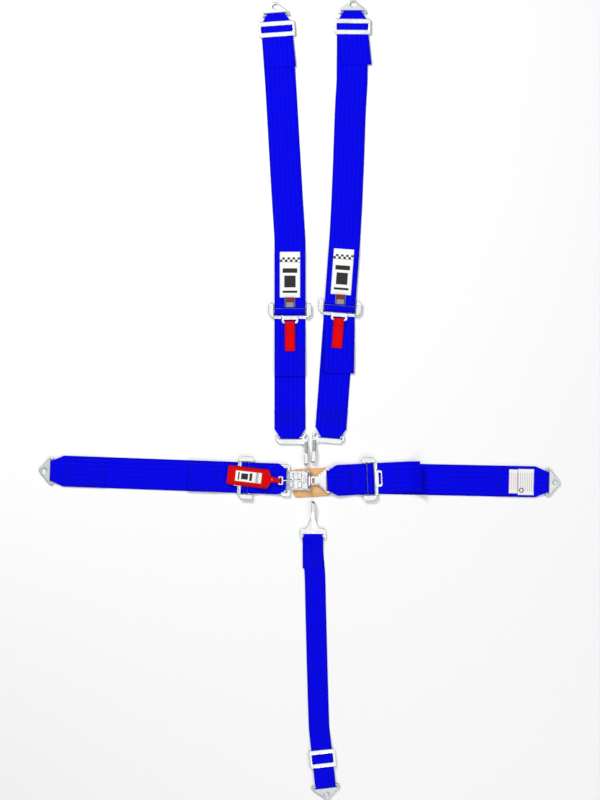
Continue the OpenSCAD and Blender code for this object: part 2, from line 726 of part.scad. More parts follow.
module crotch_webbing() {
  color(blue) {
    on_line(crotch_at, 90) intersection() {
      across(crotch_w) sewn_loop(0, low_bar_z, run_z, -30, 80);
      narrowed(loop_r + 1, crotch_w, 44, 10, -200);
    }
    translate([0, 0, table]) linear_extrude(web_t) polygon(strip(crotch_mid, crotch_w));
    on_line(crotch_end_at, crotch_end_dir) intersection() {
      across(crotch_w)
        layer(concat([[-165, run_z], [-152, run_z], [-132, slide_high_z],
          [-58, slide_high_z], [-36, low_bar_z + loop_r - 0.4]],
          arc([bracket_bar_s, low_bar_z], loop_r, 90, -90),
          [[-34, run_z + 0.4], [-48, slide_low_z], [-126, slide_low_z]]));
      narrowed(bracket_bar_s + loop_r + 1, crotch_w, 48, 10, -200);
    }
  }
}
module crotch_slide() {
  color(steel) on_line(crotch_end_at, crotch_end_dir)
    translate([-88.5, 0, 0]) slide(crotch_w + 1.2, 64, 43, 23);
}
module crotch_bracket() {
  color(grey_steel) on_line(crotch_end_at, crotch_end_dir) bracket();
}

buckle_pad();
latch_body();
latch_pin();
latch_spring();
latch_lever();
latch_handle();
handle_label();
latch_strap();
link();
link_strap();
lap_left_frame();
lap_left_bar();
lap_left_bight();
lap_left_tail();
lap_left_webbing();
lap_left_bracket();
lap_right_frame();
lap_right_bar();
lap_right_bight();
lap_right_tail();
lap_right_webbing();
lap_right_bracket();
spec_label();
shoulder_left_fitting();
shoulder_left_webbing();
shoulder_left_frame();
shoulder_left_bar();
shoulder_left_bight();
shoulder_left_tail();
shoulder_left_tab();
shoulder_left_upper();
shoulder_left_label();
shoulder_left_tag();
shoulder_left_slide();
shoulder_left_bracket();
shoulder_right_fitting();
shoulder_right_webbing();
shoulder_right_frame();
shoulder_right_bar();
shoulder_right_bight();
shoulder_right_tail();
shoulder_right_tab();
shoulder_right_upper();
shoulder_right_label();
shoulder_right_tag();
shoulder_right_slide();
shoulder_right_bracket();
crotch_fitting();
crotch_webbing();
crotch_slide();
crotch_bracket();
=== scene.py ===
"""Looks of a five-point racing harness laid flat: webbing, stitches, labels, pad and steel."""

import json
import logging
import math
from collections.abc import Callable, Iterable, Sequence
from dataclasses import dataclass, field
from enum import Enum

import bmesh
import bpy
from mathutils import Matrix, Vector
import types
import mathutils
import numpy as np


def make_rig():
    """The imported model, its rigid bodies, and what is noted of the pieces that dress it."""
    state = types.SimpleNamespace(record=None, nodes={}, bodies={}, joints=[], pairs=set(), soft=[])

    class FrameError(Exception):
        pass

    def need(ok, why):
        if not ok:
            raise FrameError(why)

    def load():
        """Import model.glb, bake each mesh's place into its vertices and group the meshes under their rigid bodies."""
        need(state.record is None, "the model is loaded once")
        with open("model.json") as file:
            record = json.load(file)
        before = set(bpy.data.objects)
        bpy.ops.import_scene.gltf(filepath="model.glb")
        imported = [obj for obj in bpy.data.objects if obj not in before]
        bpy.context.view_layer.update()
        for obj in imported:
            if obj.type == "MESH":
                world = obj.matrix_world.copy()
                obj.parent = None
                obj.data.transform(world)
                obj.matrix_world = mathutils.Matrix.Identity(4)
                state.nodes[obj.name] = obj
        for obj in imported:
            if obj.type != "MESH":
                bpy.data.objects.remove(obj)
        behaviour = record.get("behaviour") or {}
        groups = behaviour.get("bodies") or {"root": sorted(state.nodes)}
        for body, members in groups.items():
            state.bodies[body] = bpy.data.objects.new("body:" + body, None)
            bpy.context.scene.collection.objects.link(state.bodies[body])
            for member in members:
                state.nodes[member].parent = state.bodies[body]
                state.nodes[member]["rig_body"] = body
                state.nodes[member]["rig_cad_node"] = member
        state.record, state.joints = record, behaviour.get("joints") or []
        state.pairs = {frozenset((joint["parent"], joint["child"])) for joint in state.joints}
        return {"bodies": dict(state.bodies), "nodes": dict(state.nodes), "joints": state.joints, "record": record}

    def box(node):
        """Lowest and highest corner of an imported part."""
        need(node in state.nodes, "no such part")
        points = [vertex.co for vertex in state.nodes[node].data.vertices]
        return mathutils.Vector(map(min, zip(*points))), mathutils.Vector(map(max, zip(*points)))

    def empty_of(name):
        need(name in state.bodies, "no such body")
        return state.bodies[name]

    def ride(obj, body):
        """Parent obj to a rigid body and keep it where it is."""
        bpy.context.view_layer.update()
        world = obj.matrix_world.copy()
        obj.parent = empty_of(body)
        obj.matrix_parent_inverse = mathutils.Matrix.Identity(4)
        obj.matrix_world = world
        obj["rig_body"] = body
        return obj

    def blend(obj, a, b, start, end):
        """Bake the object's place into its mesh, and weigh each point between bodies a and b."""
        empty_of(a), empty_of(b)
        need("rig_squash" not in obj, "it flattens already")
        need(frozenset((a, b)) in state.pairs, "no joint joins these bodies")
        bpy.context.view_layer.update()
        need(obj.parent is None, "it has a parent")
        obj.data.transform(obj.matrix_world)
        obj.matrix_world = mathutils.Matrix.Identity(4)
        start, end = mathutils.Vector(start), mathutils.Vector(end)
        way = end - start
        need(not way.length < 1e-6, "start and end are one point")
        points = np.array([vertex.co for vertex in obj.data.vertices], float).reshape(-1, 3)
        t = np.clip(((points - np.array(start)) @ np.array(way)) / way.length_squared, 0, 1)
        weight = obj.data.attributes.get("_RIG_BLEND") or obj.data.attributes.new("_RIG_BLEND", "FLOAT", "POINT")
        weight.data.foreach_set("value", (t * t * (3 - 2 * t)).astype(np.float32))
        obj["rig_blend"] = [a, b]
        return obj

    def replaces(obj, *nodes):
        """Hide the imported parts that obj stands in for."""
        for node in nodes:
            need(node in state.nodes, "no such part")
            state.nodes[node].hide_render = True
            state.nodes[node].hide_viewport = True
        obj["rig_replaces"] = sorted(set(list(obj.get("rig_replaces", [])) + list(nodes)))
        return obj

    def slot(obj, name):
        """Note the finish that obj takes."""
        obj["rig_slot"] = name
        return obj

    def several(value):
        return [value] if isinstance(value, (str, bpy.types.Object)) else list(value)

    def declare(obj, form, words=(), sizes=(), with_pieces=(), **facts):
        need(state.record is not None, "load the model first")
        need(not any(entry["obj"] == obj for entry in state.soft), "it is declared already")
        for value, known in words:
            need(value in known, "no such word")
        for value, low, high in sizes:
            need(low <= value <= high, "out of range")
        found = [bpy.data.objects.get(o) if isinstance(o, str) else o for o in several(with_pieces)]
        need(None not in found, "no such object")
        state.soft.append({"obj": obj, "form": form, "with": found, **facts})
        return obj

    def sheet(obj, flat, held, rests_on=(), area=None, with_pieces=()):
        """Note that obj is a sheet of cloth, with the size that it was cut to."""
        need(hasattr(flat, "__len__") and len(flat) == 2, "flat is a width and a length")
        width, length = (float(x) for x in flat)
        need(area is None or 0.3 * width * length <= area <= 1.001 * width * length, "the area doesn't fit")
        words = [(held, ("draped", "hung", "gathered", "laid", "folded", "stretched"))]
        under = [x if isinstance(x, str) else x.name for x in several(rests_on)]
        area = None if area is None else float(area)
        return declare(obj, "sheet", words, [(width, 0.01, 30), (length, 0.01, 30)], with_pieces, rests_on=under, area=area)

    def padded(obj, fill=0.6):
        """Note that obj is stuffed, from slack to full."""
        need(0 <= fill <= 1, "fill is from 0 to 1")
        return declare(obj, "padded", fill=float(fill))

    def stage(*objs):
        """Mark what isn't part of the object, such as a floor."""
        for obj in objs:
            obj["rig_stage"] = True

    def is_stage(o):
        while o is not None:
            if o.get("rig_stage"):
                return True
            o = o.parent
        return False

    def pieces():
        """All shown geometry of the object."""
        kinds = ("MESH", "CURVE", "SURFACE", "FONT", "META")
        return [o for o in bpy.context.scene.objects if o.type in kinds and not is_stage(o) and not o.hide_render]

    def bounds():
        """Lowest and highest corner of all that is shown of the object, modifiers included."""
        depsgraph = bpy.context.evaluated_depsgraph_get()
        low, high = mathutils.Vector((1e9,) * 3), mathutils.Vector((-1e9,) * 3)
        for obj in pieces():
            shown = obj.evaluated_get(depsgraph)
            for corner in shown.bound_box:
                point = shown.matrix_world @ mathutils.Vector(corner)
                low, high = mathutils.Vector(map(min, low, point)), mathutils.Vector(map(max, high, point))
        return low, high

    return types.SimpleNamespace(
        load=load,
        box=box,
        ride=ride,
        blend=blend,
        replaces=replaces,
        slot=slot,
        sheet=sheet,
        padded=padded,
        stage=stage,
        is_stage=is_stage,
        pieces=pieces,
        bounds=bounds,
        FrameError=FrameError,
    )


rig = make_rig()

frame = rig.load()
CAD_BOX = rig.bounds()
RECORD = frame["record"]
JOINTS = {joint["name"]: joint for joint in frame["joints"]}
LOG = logging.getLogger("harness")
MM = 0.001

# Webbing as it is bought: one layer's thickness, and the widths that the belts are cut from.
LAYER = 1.6 * MM
WIDE = 76.2 * MM
CROTCH = 50.8 * MM
# The length of the folded hem at a free end.
HEM = 72 * MM
# Middle heights of the belt on the table and of the layer above it.
RUN_Z = 1.1 * MM
SECOND_Z = 3.0 * MM
# The radius at which webbing wraps a bar, and the bars that it wraps.
LOOP_R = 3.6 * MM
LOW_BAR_Z = RUN_Z + LOOP_R
REAR_BAR_Z = SECOND_Z + LOOP_R
REAR_BAR_S = -26 * MM
BRACKET_BAR_S = -20 * MM
# The adjuster's slot that the pull tab hangs in.
TAB_SLOT_S = 13.9 * MM
TAB_SLOT_Z = 7.85 * MM
# Middle heights of the webbing that passes under and over a three-bar slide's bars.
SLIDE_LOW_Z = 3.4 * MM
SLIDE_HIGH_Z = 5.3 * MM
# How far a layer lies above the one that it is sewn to, and a label's middle above the cloth.
OVER = 1.62 * MM
LABEL_UP = 0.35 * MM

# How many faces a strip of webbing has across it.
BAND_STEPS = 8

Point = tuple[float, float]


class Look(Enum):
    """The record's material slots that new pieces take their finish from."""

    BLUE = "blue_webbing"
    RED = "red_webbing"
    LABEL = "label"
    TAG = "tag"
    LEATHER = "leather"


# ------------------------------------------------------------------ materials


def linear(code: str) -> tuple[float, float, float, float]:
    """Turns an sRGB hex colour into the linear RGBA that shaders use.

    Args:
        code: Six hex digits, such as "1A2B3C".

    Returns:
        Linear red, green, blue and an alpha of 1.
    """
    parts = [int(code[i : i + 2], 16) / 255 for i in (0, 2, 4)]
    out = [c / 12.92 if c <= 0.04045 else ((c + 0.055) / 1.055) ** 2.4 for c in parts]
    return (out[0], out[1], out[2], 1.0)


class Shader:
    """A material and the few calls that wire its nodes."""

    def __init__(self, name: str) -> None:
        """Starts an empty material of that name.

        Args:
            name: Its name.
        """
        self.material = bpy.data.materials.new(name)
        self.material.use_nodes = True
        self.tree = self.material.node_tree
        self.tree.nodes.clear()
        self.surface = self.add("ShaderNodeBsdfPrincipled")
        output = self.add("ShaderNodeOutputMaterial")
        self.tree.links.new(self.surface.outputs[0], output.inputs["Surface"])

    def add(self, kind: str, settings: dict | None = None, **sockets: object) -> bpy.types.Node:
        """Adds a node.

        Args:
            kind: The node's type name.
            settings: Properties of the node itself.
            **sockets: Input values or output sockets to link, by name with _ for a space,
                or by place as i0, i1 and so on.

        Returns:
            The new node.
        """
        node = self.tree.nodes.new(kind)
        for key, value in (settings or {}).items():
            setattr(node, key, value)
        for key, value in sockets.items():
            place = int(key[1:]) if key[0] == "i" and key[1:].isdigit() else key.replace("_", " ")
            self.put(node.inputs[place], value)
        return node

    def put(self, socket: bpy.types.NodeSocket, value: object) -> None:
        """Links a socket to value, or sets it."""
        if isinstance(value, bpy.types.NodeSocket):
            self.tree.links.new(value, socket)
        else:
            socket.default_value = value

    def math(self, operation: str, *values: object) -> bpy.types.NodeSocket:
        """Adds a math node on those values and returns its output."""
        sockets = {f"i{i}": value for i, value in enumerate(values)}
        return self.add("ShaderNodeMath", {"operation": operation}, **sockets).outputs[0]

    def mix(self, share: object, a: object, b: object) -> bpy.types.NodeSocket:
        """Mixes colour a to colour b by share and returns the output."""
        node = self.add("ShaderNodeMix", {"data_type": "RGBA"}, i0=share, i6=a, i7=b)
        return node.outputs[2]

    def uv(self) -> tuple[bpy.types.NodeSocket, bpy.types.NodeSocket]:
        """The piece's own map in metres: along it, and across it.

        Returns:
            Metres along the piece, and metres across it from its middle.
        """
        source = self.add("ShaderNodeUVMap", {"uv_map": "cloth"}).outputs[0]
        split = self.add("ShaderNodeSeparateXYZ", Vector=source)
        return split.outputs[0], split.outputs[1]

    def wave(self, along: object, pitch: float) -> bpy.types.NodeSocket:
        """A smooth 0 to 1 wave of that pitch in metres."""
        turn = self.math("MULTIPLY", along, 2 * math.pi / pitch)
        return self.math("MULTIPLY_ADD", self.math("SINE", turn), 0.5, 0.5)

    def noise(self, vector: bpy.types.NodeSocket, scale: float,
              detail: float = 3) -> bpy.types.NodeSocket:
        """Noise on a vector, with scale in waves to the metre."""
        node = self.add("ShaderNodeTexNoise", Vector=vector, Scale=scale, Detail=detail)
        return node.outputs["Fac"]

    def band(self, value: object, low: float, high: float) -> bpy.types.NodeSocket:
        """1 where value lies between low and high, and 0 elsewhere."""
        over = self.math("GREATER_THAN", value, low)
        return self.math("MULTIPLY", over, self.math("LESS_THAN", value, high))

    def place(self) -> bpy.types.NodeSocket:
        """The point on the piece, in metres."""
        return self.add("ShaderNodeTexCoord").outputs["Object"]

    def bump(self, height: object, strength: float, distance: float,
             base: bpy.types.NodeSocket | None = None) -> None:
        """Raises the surface by height times distance in metres, on the base normal if given.

        Args:
            height: What the relief follows, from 0 to 1.
            strength: How much of the relief shows.
            distance: Its depth in metres.
            base: The normal that it is added to.
        """
        node = self.add("ShaderNodeBump", Strength=strength, Distance=distance, Height=height)
        if base is not None:
            self.put(node.inputs["Normal"], base)
        self.put(self.surface.inputs["Normal"], node.outputs[0])

    def set(self, **sockets: object) -> None:
        """Sets or links inputs of the surface shader by name, with _ for a space."""
        for key, value in sockets.items():
            self.put(self.surface.inputs[key.replace("_", " ")], value)


@dataclass(frozen=True)
class WebbingFinish:
    """Narrow-woven polyester: ribs along it, a fine weft across it, and painted shade that darkens its edges."""

    name: str
    base: str
    deep: str
    light: str
    half_width: float
    rib: float = 1.9 * MM
    weft: float = 1.15 * MM
    # Width of the painted shade at each edge, in metres.
    edge_shade_band: float = 5.0 * MM

    def make(self) -> bpy.types.Material:
        """Builds the material.

        Returns:
            The material.
        """
        s = Shader(self.name)
        along, across = s.uv()
        rib = s.wave(across, self.rib)
        slant = s.math("MULTIPLY_ADD", across, 0.7, along)
        weft = s.wave(slant, self.weft)
        weave = s.math("MULTIPLY_ADD", weft, 0.45, s.math("MULTIPLY", rib, 0.55))
        # Painted shade: a mask that rises from 0 to 1 over the last few millimetres of each edge.
        inset = s.math("SUBTRACT", self.half_width, s.math("ABSOLUTE", across))
        edge = s.math("MAXIMUM", s.math("MULTIPLY_ADD", inset, -1 / self.edge_shade_band, 1.0), 0.0)
        line = s.wave(across, self.half_width * 2 / 7)
        deep, light = linear(self.deep), linear(self.light)
        tone = s.mix(s.math("MULTIPLY_ADD", weave, 0.55, 0.45), deep, linear(self.base))
        tone = s.mix(s.math("MULTIPLY", s.math("POWER", line, 14.0), 0.16), tone, light)
        # Painted shade: the deep tone is mixed in at the edges, up to 0.8 of the way.
        tone = s.mix(s.math("MULTIPLY", edge, 0.8), tone, deep)
        cloud = s.noise(s.place(), 22, 2)
        tone = s.mix(s.math("MULTIPLY", cloud, 0.3), tone, deep)
        s.set(Base_Color=tone, Roughness=0.8, Specular_IOR_Level=0.06)
        s.set(Sheen_Weight=0.03, Sheen_Roughness=0.5, Sheen_Tint=light)
        s.bump(weave, 0.6, 0.25 * MM)
        return s.material


@dataclass(frozen=True)
class ThreadFinish:
    """Bonded nylon thread."""

    name: str
    base: str

    def make(self) -> bpy.types.Material:
        """Builds the material.

        Returns:
            The material.
        """
        s = Shader(self.name)
        twist = s.noise(s.place(), 900, 1)
        s.set(Base_Color=linear(self.base), Roughness=0.6, Specular_IOR_Level=0.2)
        s.set(Sheen_Weight=0.03)
        s.bump(twist, 0.4, 0.1 * MM)
        return s.material


@dataclass(frozen=True)
class SteelFinish:
    """Stamped steel under bright plating, with fine handling marks and softer recesses."""

    name: str
    base: str
    rough: float
    marks: float = 0.25
    knurl: float = 0.0
    rounding: float = 3.0 * MM

    def make(self) -> bpy.types.Material:
        """Builds the material.

        Returns:
            The material.
        """
        s = Shader(self.name)
        place = s.place()
        grain = s.noise(place, 900, 2)
        patch = s.noise(place, 45, 3)
        rough = s.math("MULTIPLY_ADD", patch, self.marks, self.rough)
        rough = s.math("MULTIPLY_ADD", grain, self.marks * 0.15, rough)
        dull = s.math("MULTIPLY", s.math("POWER", patch, 3.0), 0.8)
        tone = s.mix(dull, linear(self.base), linear("7A8088"))
        s.set(Base_Color=tone, Metallic=1.0, Roughness=rough)
        worn = s.add("ShaderNodeBevel", {"samples": 6}, Radius=self.rounding).outputs[0]
        height: object = s.math("MULTIPLY_ADD", grain, 0.2, patch)
        if self.knurl:
            split = s.add("ShaderNodeSeparateXYZ", Vector=place)
            flat = s.math("ADD", split.outputs[0], split.outputs[1])
            other = s.math("SUBTRACT", split.outputs[0], split.outputs[1])
            height = s.math("MULTIPLY", s.wave(flat, self.knurl), s.wave(other, self.knurl))
            s.bump(height, 0.9, 0.4 * MM, worn)
        else:
            s.bump(height, 0.1, 0.05 * MM, worn)
        return s.material


@dataclass(frozen=True)
class LeatherFinish:
    """Tan drum-dyed leather with a pebbled grain and darker creases."""

    name: str
    base: str
    deep: str

    def make(self) -> bpy.types.Material:
        """Builds the material.

        Returns:
            The material.
        """
        s = Shader(self.name)
        place = s.place()
        edges = {"feature": "DISTANCE_TO_EDGE"}
        cells = s.add("ShaderNodeTexVoronoi", edges, Vector=place, Scale=620)
        crease = s.math("MINIMUM", s.math("MULTIPLY", cells.outputs[0], 4.0), 1.0)
        cloud = s.noise(place, 70, 4)
        tone = s.mix(crease, linear(self.deep), linear(self.base))
        tone = s.mix(s.math("MULTIPLY", cloud, 0.35), tone, linear(self.deep))
        s.set(Base_Color=tone, Roughness=0.58, Specular_IOR_Level=0.4)
        s.bump(crease, 0.5, 0.25 * MM)
        return s.material


class Pattern(Enum):
    """What is woven into a label. None of them is a mark or a letter."""

    CHECKER = "checker band and bars"
    BARS = "plain bars"
    RING = "bars and a ring"
    TAG = "two plain blocks"


@dataclass(frozen=True)
class LabelFinish:
    """Woven label, white with a generic black pattern on the piece's own map."""

    name: str
    pattern: Pattern
    size: Point
    ground: str = "F4F4F0"
    ink: str = "101014"

    def within(self, s: Shader, across: bpy.types.NodeSocket, share: float) -> bpy.types.NodeSocket:
        """1 where the label's middle is nearer than that share of its width."""
        return s.math("LESS_THAN", s.math("ABSOLUTE", across), self.size[1] * share)

    def blocks(self, s: Shader, along: bpy.types.NodeSocket,
               across: bpy.types.NodeSocket) -> bpy.types.NodeSocket:
        """Two plain blocks on a dark ground.

        Args:
            s: The material.
            along: Metres along the label.
            across: Metres across the label.

        Returns:
            The colour.
        """
        length, _ = self.size
        second = s.math("GREATER_THAN", along, length * 0.52)
        tone = s.mix(second, linear("7A0C10"), linear("8C8F92"))
        return s.mix(self.within(s, across, 0.36), linear("141418"), tone)

    def checker(self, s: Shader, along: bpy.types.NodeSocket,
                across: bpy.types.NodeSocket) -> bpy.types.NodeSocket:
        """A checker band and three bars, black on white.

        Args:
            s: The material.
            along: Metres along the label.
            across: Metres across the label.

        Returns:
            The colour.
        """
        length, width = self.size
        ground, ink = linear(self.ground), linear(self.ink)
        side = width / 8
        check = s.add("ShaderNodeTexChecker", Scale=1 / side, Color1=ink, Color2=ground)
        flat = s.add("ShaderNodeCombineXYZ", X=along, Y=across, Z=0.0005)
        s.put(check.inputs["Vector"], flat.outputs[0])
        near = s.band(along, length * 0.12, length * 0.12 + 2 * side)
        tone = s.mix(near, ground, check.outputs[0])
        for start, stop, reach in ((0.36, 0.46, 0.36), (0.52, 0.78, 0.28), (0.85, 0.9, 0.36)):
            bar = s.band(along, length * start, length * stop)
            tone = s.mix(s.math("MULTIPLY", bar, self.within(s, across, reach)), tone, ink)
        return tone

    def lines(self, s: Shader, along: bpy.types.NodeSocket,
              across: bpy.types.NodeSocket) -> bpy.types.NodeSocket:
        """Faint lines across the label, and on some a ring.

        Args:
            s: The material.
            along: Metres along the label.
            across: Metres across the label.

        Returns:
            The colour.
        """
        length, width = self.size
        lines = s.math("GREATER_THAN", s.wave(along, 4.6 * MM), 0.8)
        faint = linear("D08C96") if self.pattern is Pattern.BARS else linear("7F9088")
        share = s.math("MULTIPLY", s.math("MULTIPLY", lines, self.within(s, across, 0.36)), 0.65)
        tone = s.mix(share, linear(self.ground), faint)
        if self.pattern is Pattern.RING:
            dx = s.math("SUBTRACT", along, length * 0.22)
            dy = s.math("ADD", across, width * 0.32)
            square = s.math("ADD", s.math("MULTIPLY", dx, dx), s.math("MULTIPLY", dy, dy))
            ring = s.band(s.math("SQRT", square), 4.0 * MM, 6.0 * MM)
            tone = s.mix(ring, tone, linear(self.ink))
        return tone

    def make(self) -> bpy.types.Material:
        """Builds the material.

        Returns:
            The material.
        """
        s = Shader(self.name)
        along, across = s.uv()
        draw = {Pattern.TAG: self.blocks, Pattern.CHECKER: self.checker}.get(self.pattern, self.lines)
        tone = draw(s, along, across)
        rim = s.math("GREATER_THAN", s.math("ABSOLUTE", across), self.size[1] / 2 - 1.2 * MM)
        tone = s.mix(s.math("MULTIPLY", rim, 0.5), tone, linear("B8B8B4"))
        s.set(Base_Color=tone, Roughness=0.7, Sheen_Weight=0.15)
        weave = s.math("MULTIPLY", s.wave(along, 0.7 * MM), s.wave(across, 0.7 * MM))
        s.bump(weave, 0.35, 0.1 * MM)
        return s.material


# ------------------------------------------------------------------ belt lines and bands


@dataclass(frozen=True)
class Line:
    """A belt's line on the table: s runs along it, y across it and z up."""

    origin: Vector
    direction: Vector

    @classmethod
    def along(cls, point: Sequence[float], axis: Sequence[float], s: float = 0.0) -> "Line":
        """A line with direction axis on which point lies at s.

        Args:
            point: A point on the line.
            axis: The line's direction.
            s: Where that point lies along it.

        Returns:
            The line.
        """
        direction = Vector((axis[0], axis[1], 0)).normalized()
        origin = Vector((point[0], point[1], 0)) - direction * s
        return cls(origin, direction)

    @property
    def side(self) -> Vector:
        """The direction across the belt."""
        return Vector((-self.direction.y, self.direction.x, 0))

    def at(self, s: float, y: float = 0.0, z: float = 0.0) -> Vector:
        """The point at s, y and z in the row frame."""
        return self.origin + self.direction * s + self.side * y + Vector((0, 0, z))


@dataclass
class Station:
    """A place on a band: its middle, the direction across it, and its width."""

    middle: Vector
    side: Vector
    width: float


def rounded(points: Sequence[Point], passes: int = 2) -> list[Point]:
    """Cuts a path's corners so that webbing bends in curves.

    Args:
        points: The path in s and z.
        passes: How often the corners are cut.

    Returns:
        A path through more points, with the same ends.
    """
    path = [Vector(p) for p in points]
    for _ in range(passes):
        cut = [path[0]]
        for a, b in zip(path, path[1:]):
            reach = min(0.25, 0.006 / max((b - a).length, 1e-9))
            cut += [a.lerp(b, reach), b.lerp(a, reach)]
        path = [*cut, path[-1]]
    return [(p.x, p.y) for p in path]


def spaced(points: Sequence[Point], step: float = 6 * MM) -> list[Point]:
    """Adds points so that none are further apart than step.

    Args:
        points: The path.
        step: The longest gap, in metres.

    Returns:
        The path with more points on it.
    """
    out = [points[0]]
    for a, b in zip(points, points[1:]):
        count = max(1, math.ceil(math.dist(a, b) / step))
        dx, dy = (b[0] - a[0]) / count, (b[1] - a[1]) / count
        out += [(a[0] + dx * k, a[1] + dy * k) for k in range(1, count + 1)]
    return [p for i, p in enumerate(out) if i == 0 or math.dist(p, out[i - 1]) > 0.05 * MM]


def arc(s: float, z: float, r: float, start: float, stop: float, count: int = 12) -> list[Point]:
    """Points on an arc, from start to stop in degrees."""
    turns = [math.radians(start + (stop - start) * k / count) for k in range(count + 1)]
    return [(s + r * math.cos(a), z + r * math.sin(a)) for a in turns]


def narrowing(end: float, tip: float, length: float, wide: float) -> Callable[[float], float]:
    """A belt's width at s, where it narrows to tip over length before end.

    Args:
        end: Where the belt is narrowest; the sign of length says from which side.
        tip: The width there.
        length: How long the cut corner is, negative where the belt lies beyond end.
        wide: The belt's full width.

    Returns:
        A function from s to the width.
    """

    def width(s: float) -> float:
        """The width at s."""
        share = min(1.0, max(0.0, 1 - (end - s) / length))
        return wide + (tip - wide) * share

    return width


def plain(width: float) -> Callable[[float], float]:
    """A constant width, as a function of s."""
    return lambda s: width


def on_line(line: Line, path: Iterable[Point], width: Callable[[float], float]) -> list[Station]:
    """Stations along a side view of a belt on a straight line."""
    return [Station(line.at(s, 0, z), line.side, width(s)) for s, z in path]


def plan(points: Sequence[Vector], width: float) -> list[Station]:
    """Stations along a curved belt that lies on the table, without the two ends.

    Args:
        points: The belt's way seen from above, in metres.
        width: Its width.

    Returns:
        Stations about 10 mm apart.
    """
    smooth = spaced(rounded([(p.x, p.y) for p in points], 3), 10 * MM)
    stations = []
    for before, here, after in zip(smooth, smooth[1:], smooth[2:]):
        ahead = Vector(after) - Vector(before)
        side = Vector((ahead.y, -ahead.x, 0)).normalized()
        stations.append(Station(Vector((here[0], here[1], RUN_Z)), side, width))
    return stations


class Piece:
    def __init__(self, name: str, mesh: bmesh.types.BMesh, material: bpy.types.Material,
                 look: Look) -> None:
        """Makes the object from a finished bmesh, which is freed.

        Args:
            name: Its name.
            mesh: Its shape, which is freed.
            material: Its finish.
            look: The record's slot.
        """
        data = bpy.data.meshes.new(name)
        mesh.to_mesh(data)
        mesh.free()
        data.shade_smooth()
        data.materials.append(material)
        self.object = bpy.data.objects.new(name, data)
        bpy.context.scene.collection.objects.link(self.object)
        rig.slot(self.object, look.value)
        LOG.info("%s: %d faces", name, len(data.polygons))

    def thicken(self, thickness: float, bevel: float) -> "Piece":
        """Gives a sheet its thickness, half to each side, with rounded edges.

        Args:
            thickness: The thickness in metres.
            bevel: The width of the rounded edges.

        Returns:
            The piece itself.
        """
        solid = self.object.modifiers.new("thickness", "SOLIDIFY")
        solid.thickness = thickness
        solid.offset = 0
        edge = self.object.modifiers.new("edge", "BEVEL")
        edge.width = bevel
        edge.segments = 2
        edge.limit_method = "ANGLE"
        edge.angle_limit = math.radians(60)
        return self

    def ride(self, body: str, *replaced: str) -> "Piece":
        """Fixes the piece to a body, in place of those CAD nodes.

        Args:
            body: The body.
            *replaced: The CAD nodes that it stands in for.

        Returns:
            The piece itself.
        """
        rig.ride(self.object, body)
        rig.replaces(self.object, *replaced)
        return self

    def blend(self, a: str, b: str, start: Vector, end: Vector, *replaced: str) -> "Piece":
        """Lets the piece stretch between two bodies, in place of those CAD nodes.

        Args:
            a: The body that it follows at start.
            b: The body that it follows at end.
            start: Where it leaves the first body.
            end: Where it has wholly joined the second.
            *replaced: The CAD nodes that it stands in for.

        Returns:
            The piece itself.
        """
        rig.blend(self.object, a, b, start, end)
        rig.replaces(self.object, *replaced)
        return self


def band(name: str, stations: Sequence[Station], material: bpy.types.Material, look: Look,
         thickness: float = LAYER) -> tuple[Piece, float]:
    """Makes a strip of webbing that follows the stations.

    Args:
        name: The piece's name.
        stations: Places along the strip.
        material: Its finish.
        look: The record's slot that it takes its finish from.
        thickness: Its thickness in metres.

    Returns:
        The piece, and the strip's length in metres.
    """
    reach = [0.0]
    for a, b in zip(stations, stations[1:]):
        reach.append(reach[-1] + (b.middle - a.middle).length)
    mesh = bmesh.new()
    uv = mesh.loops.layers.uv.new("cloth")
    last = len(stations) - 1
    grid = bmesh.ops.create_grid(mesh, x_segments=last, y_segments=BAND_STEPS, size=1)
    spot: dict[bmesh.types.BMVert, Point] = {}
    for vert in grid["verts"]:
        i = round((vert.co.x + 1) / 2 * last)
        here = stations[i]
        aside = vert.co.y / 2 * here.width
        spot[vert] = (reach[i], aside)
        vert.co = here.middle + here.side * aside
    for face in mesh.faces:
        for loop in face.loops:
            loop[uv].uv = spot[loop.vert]
    piece = Piece(name, mesh, material, look).thicken(thickness, min(0.35 * MM, thickness * 0.3))
    return piece, reach[-1]


# ------------------------------------------------------------------ stitching


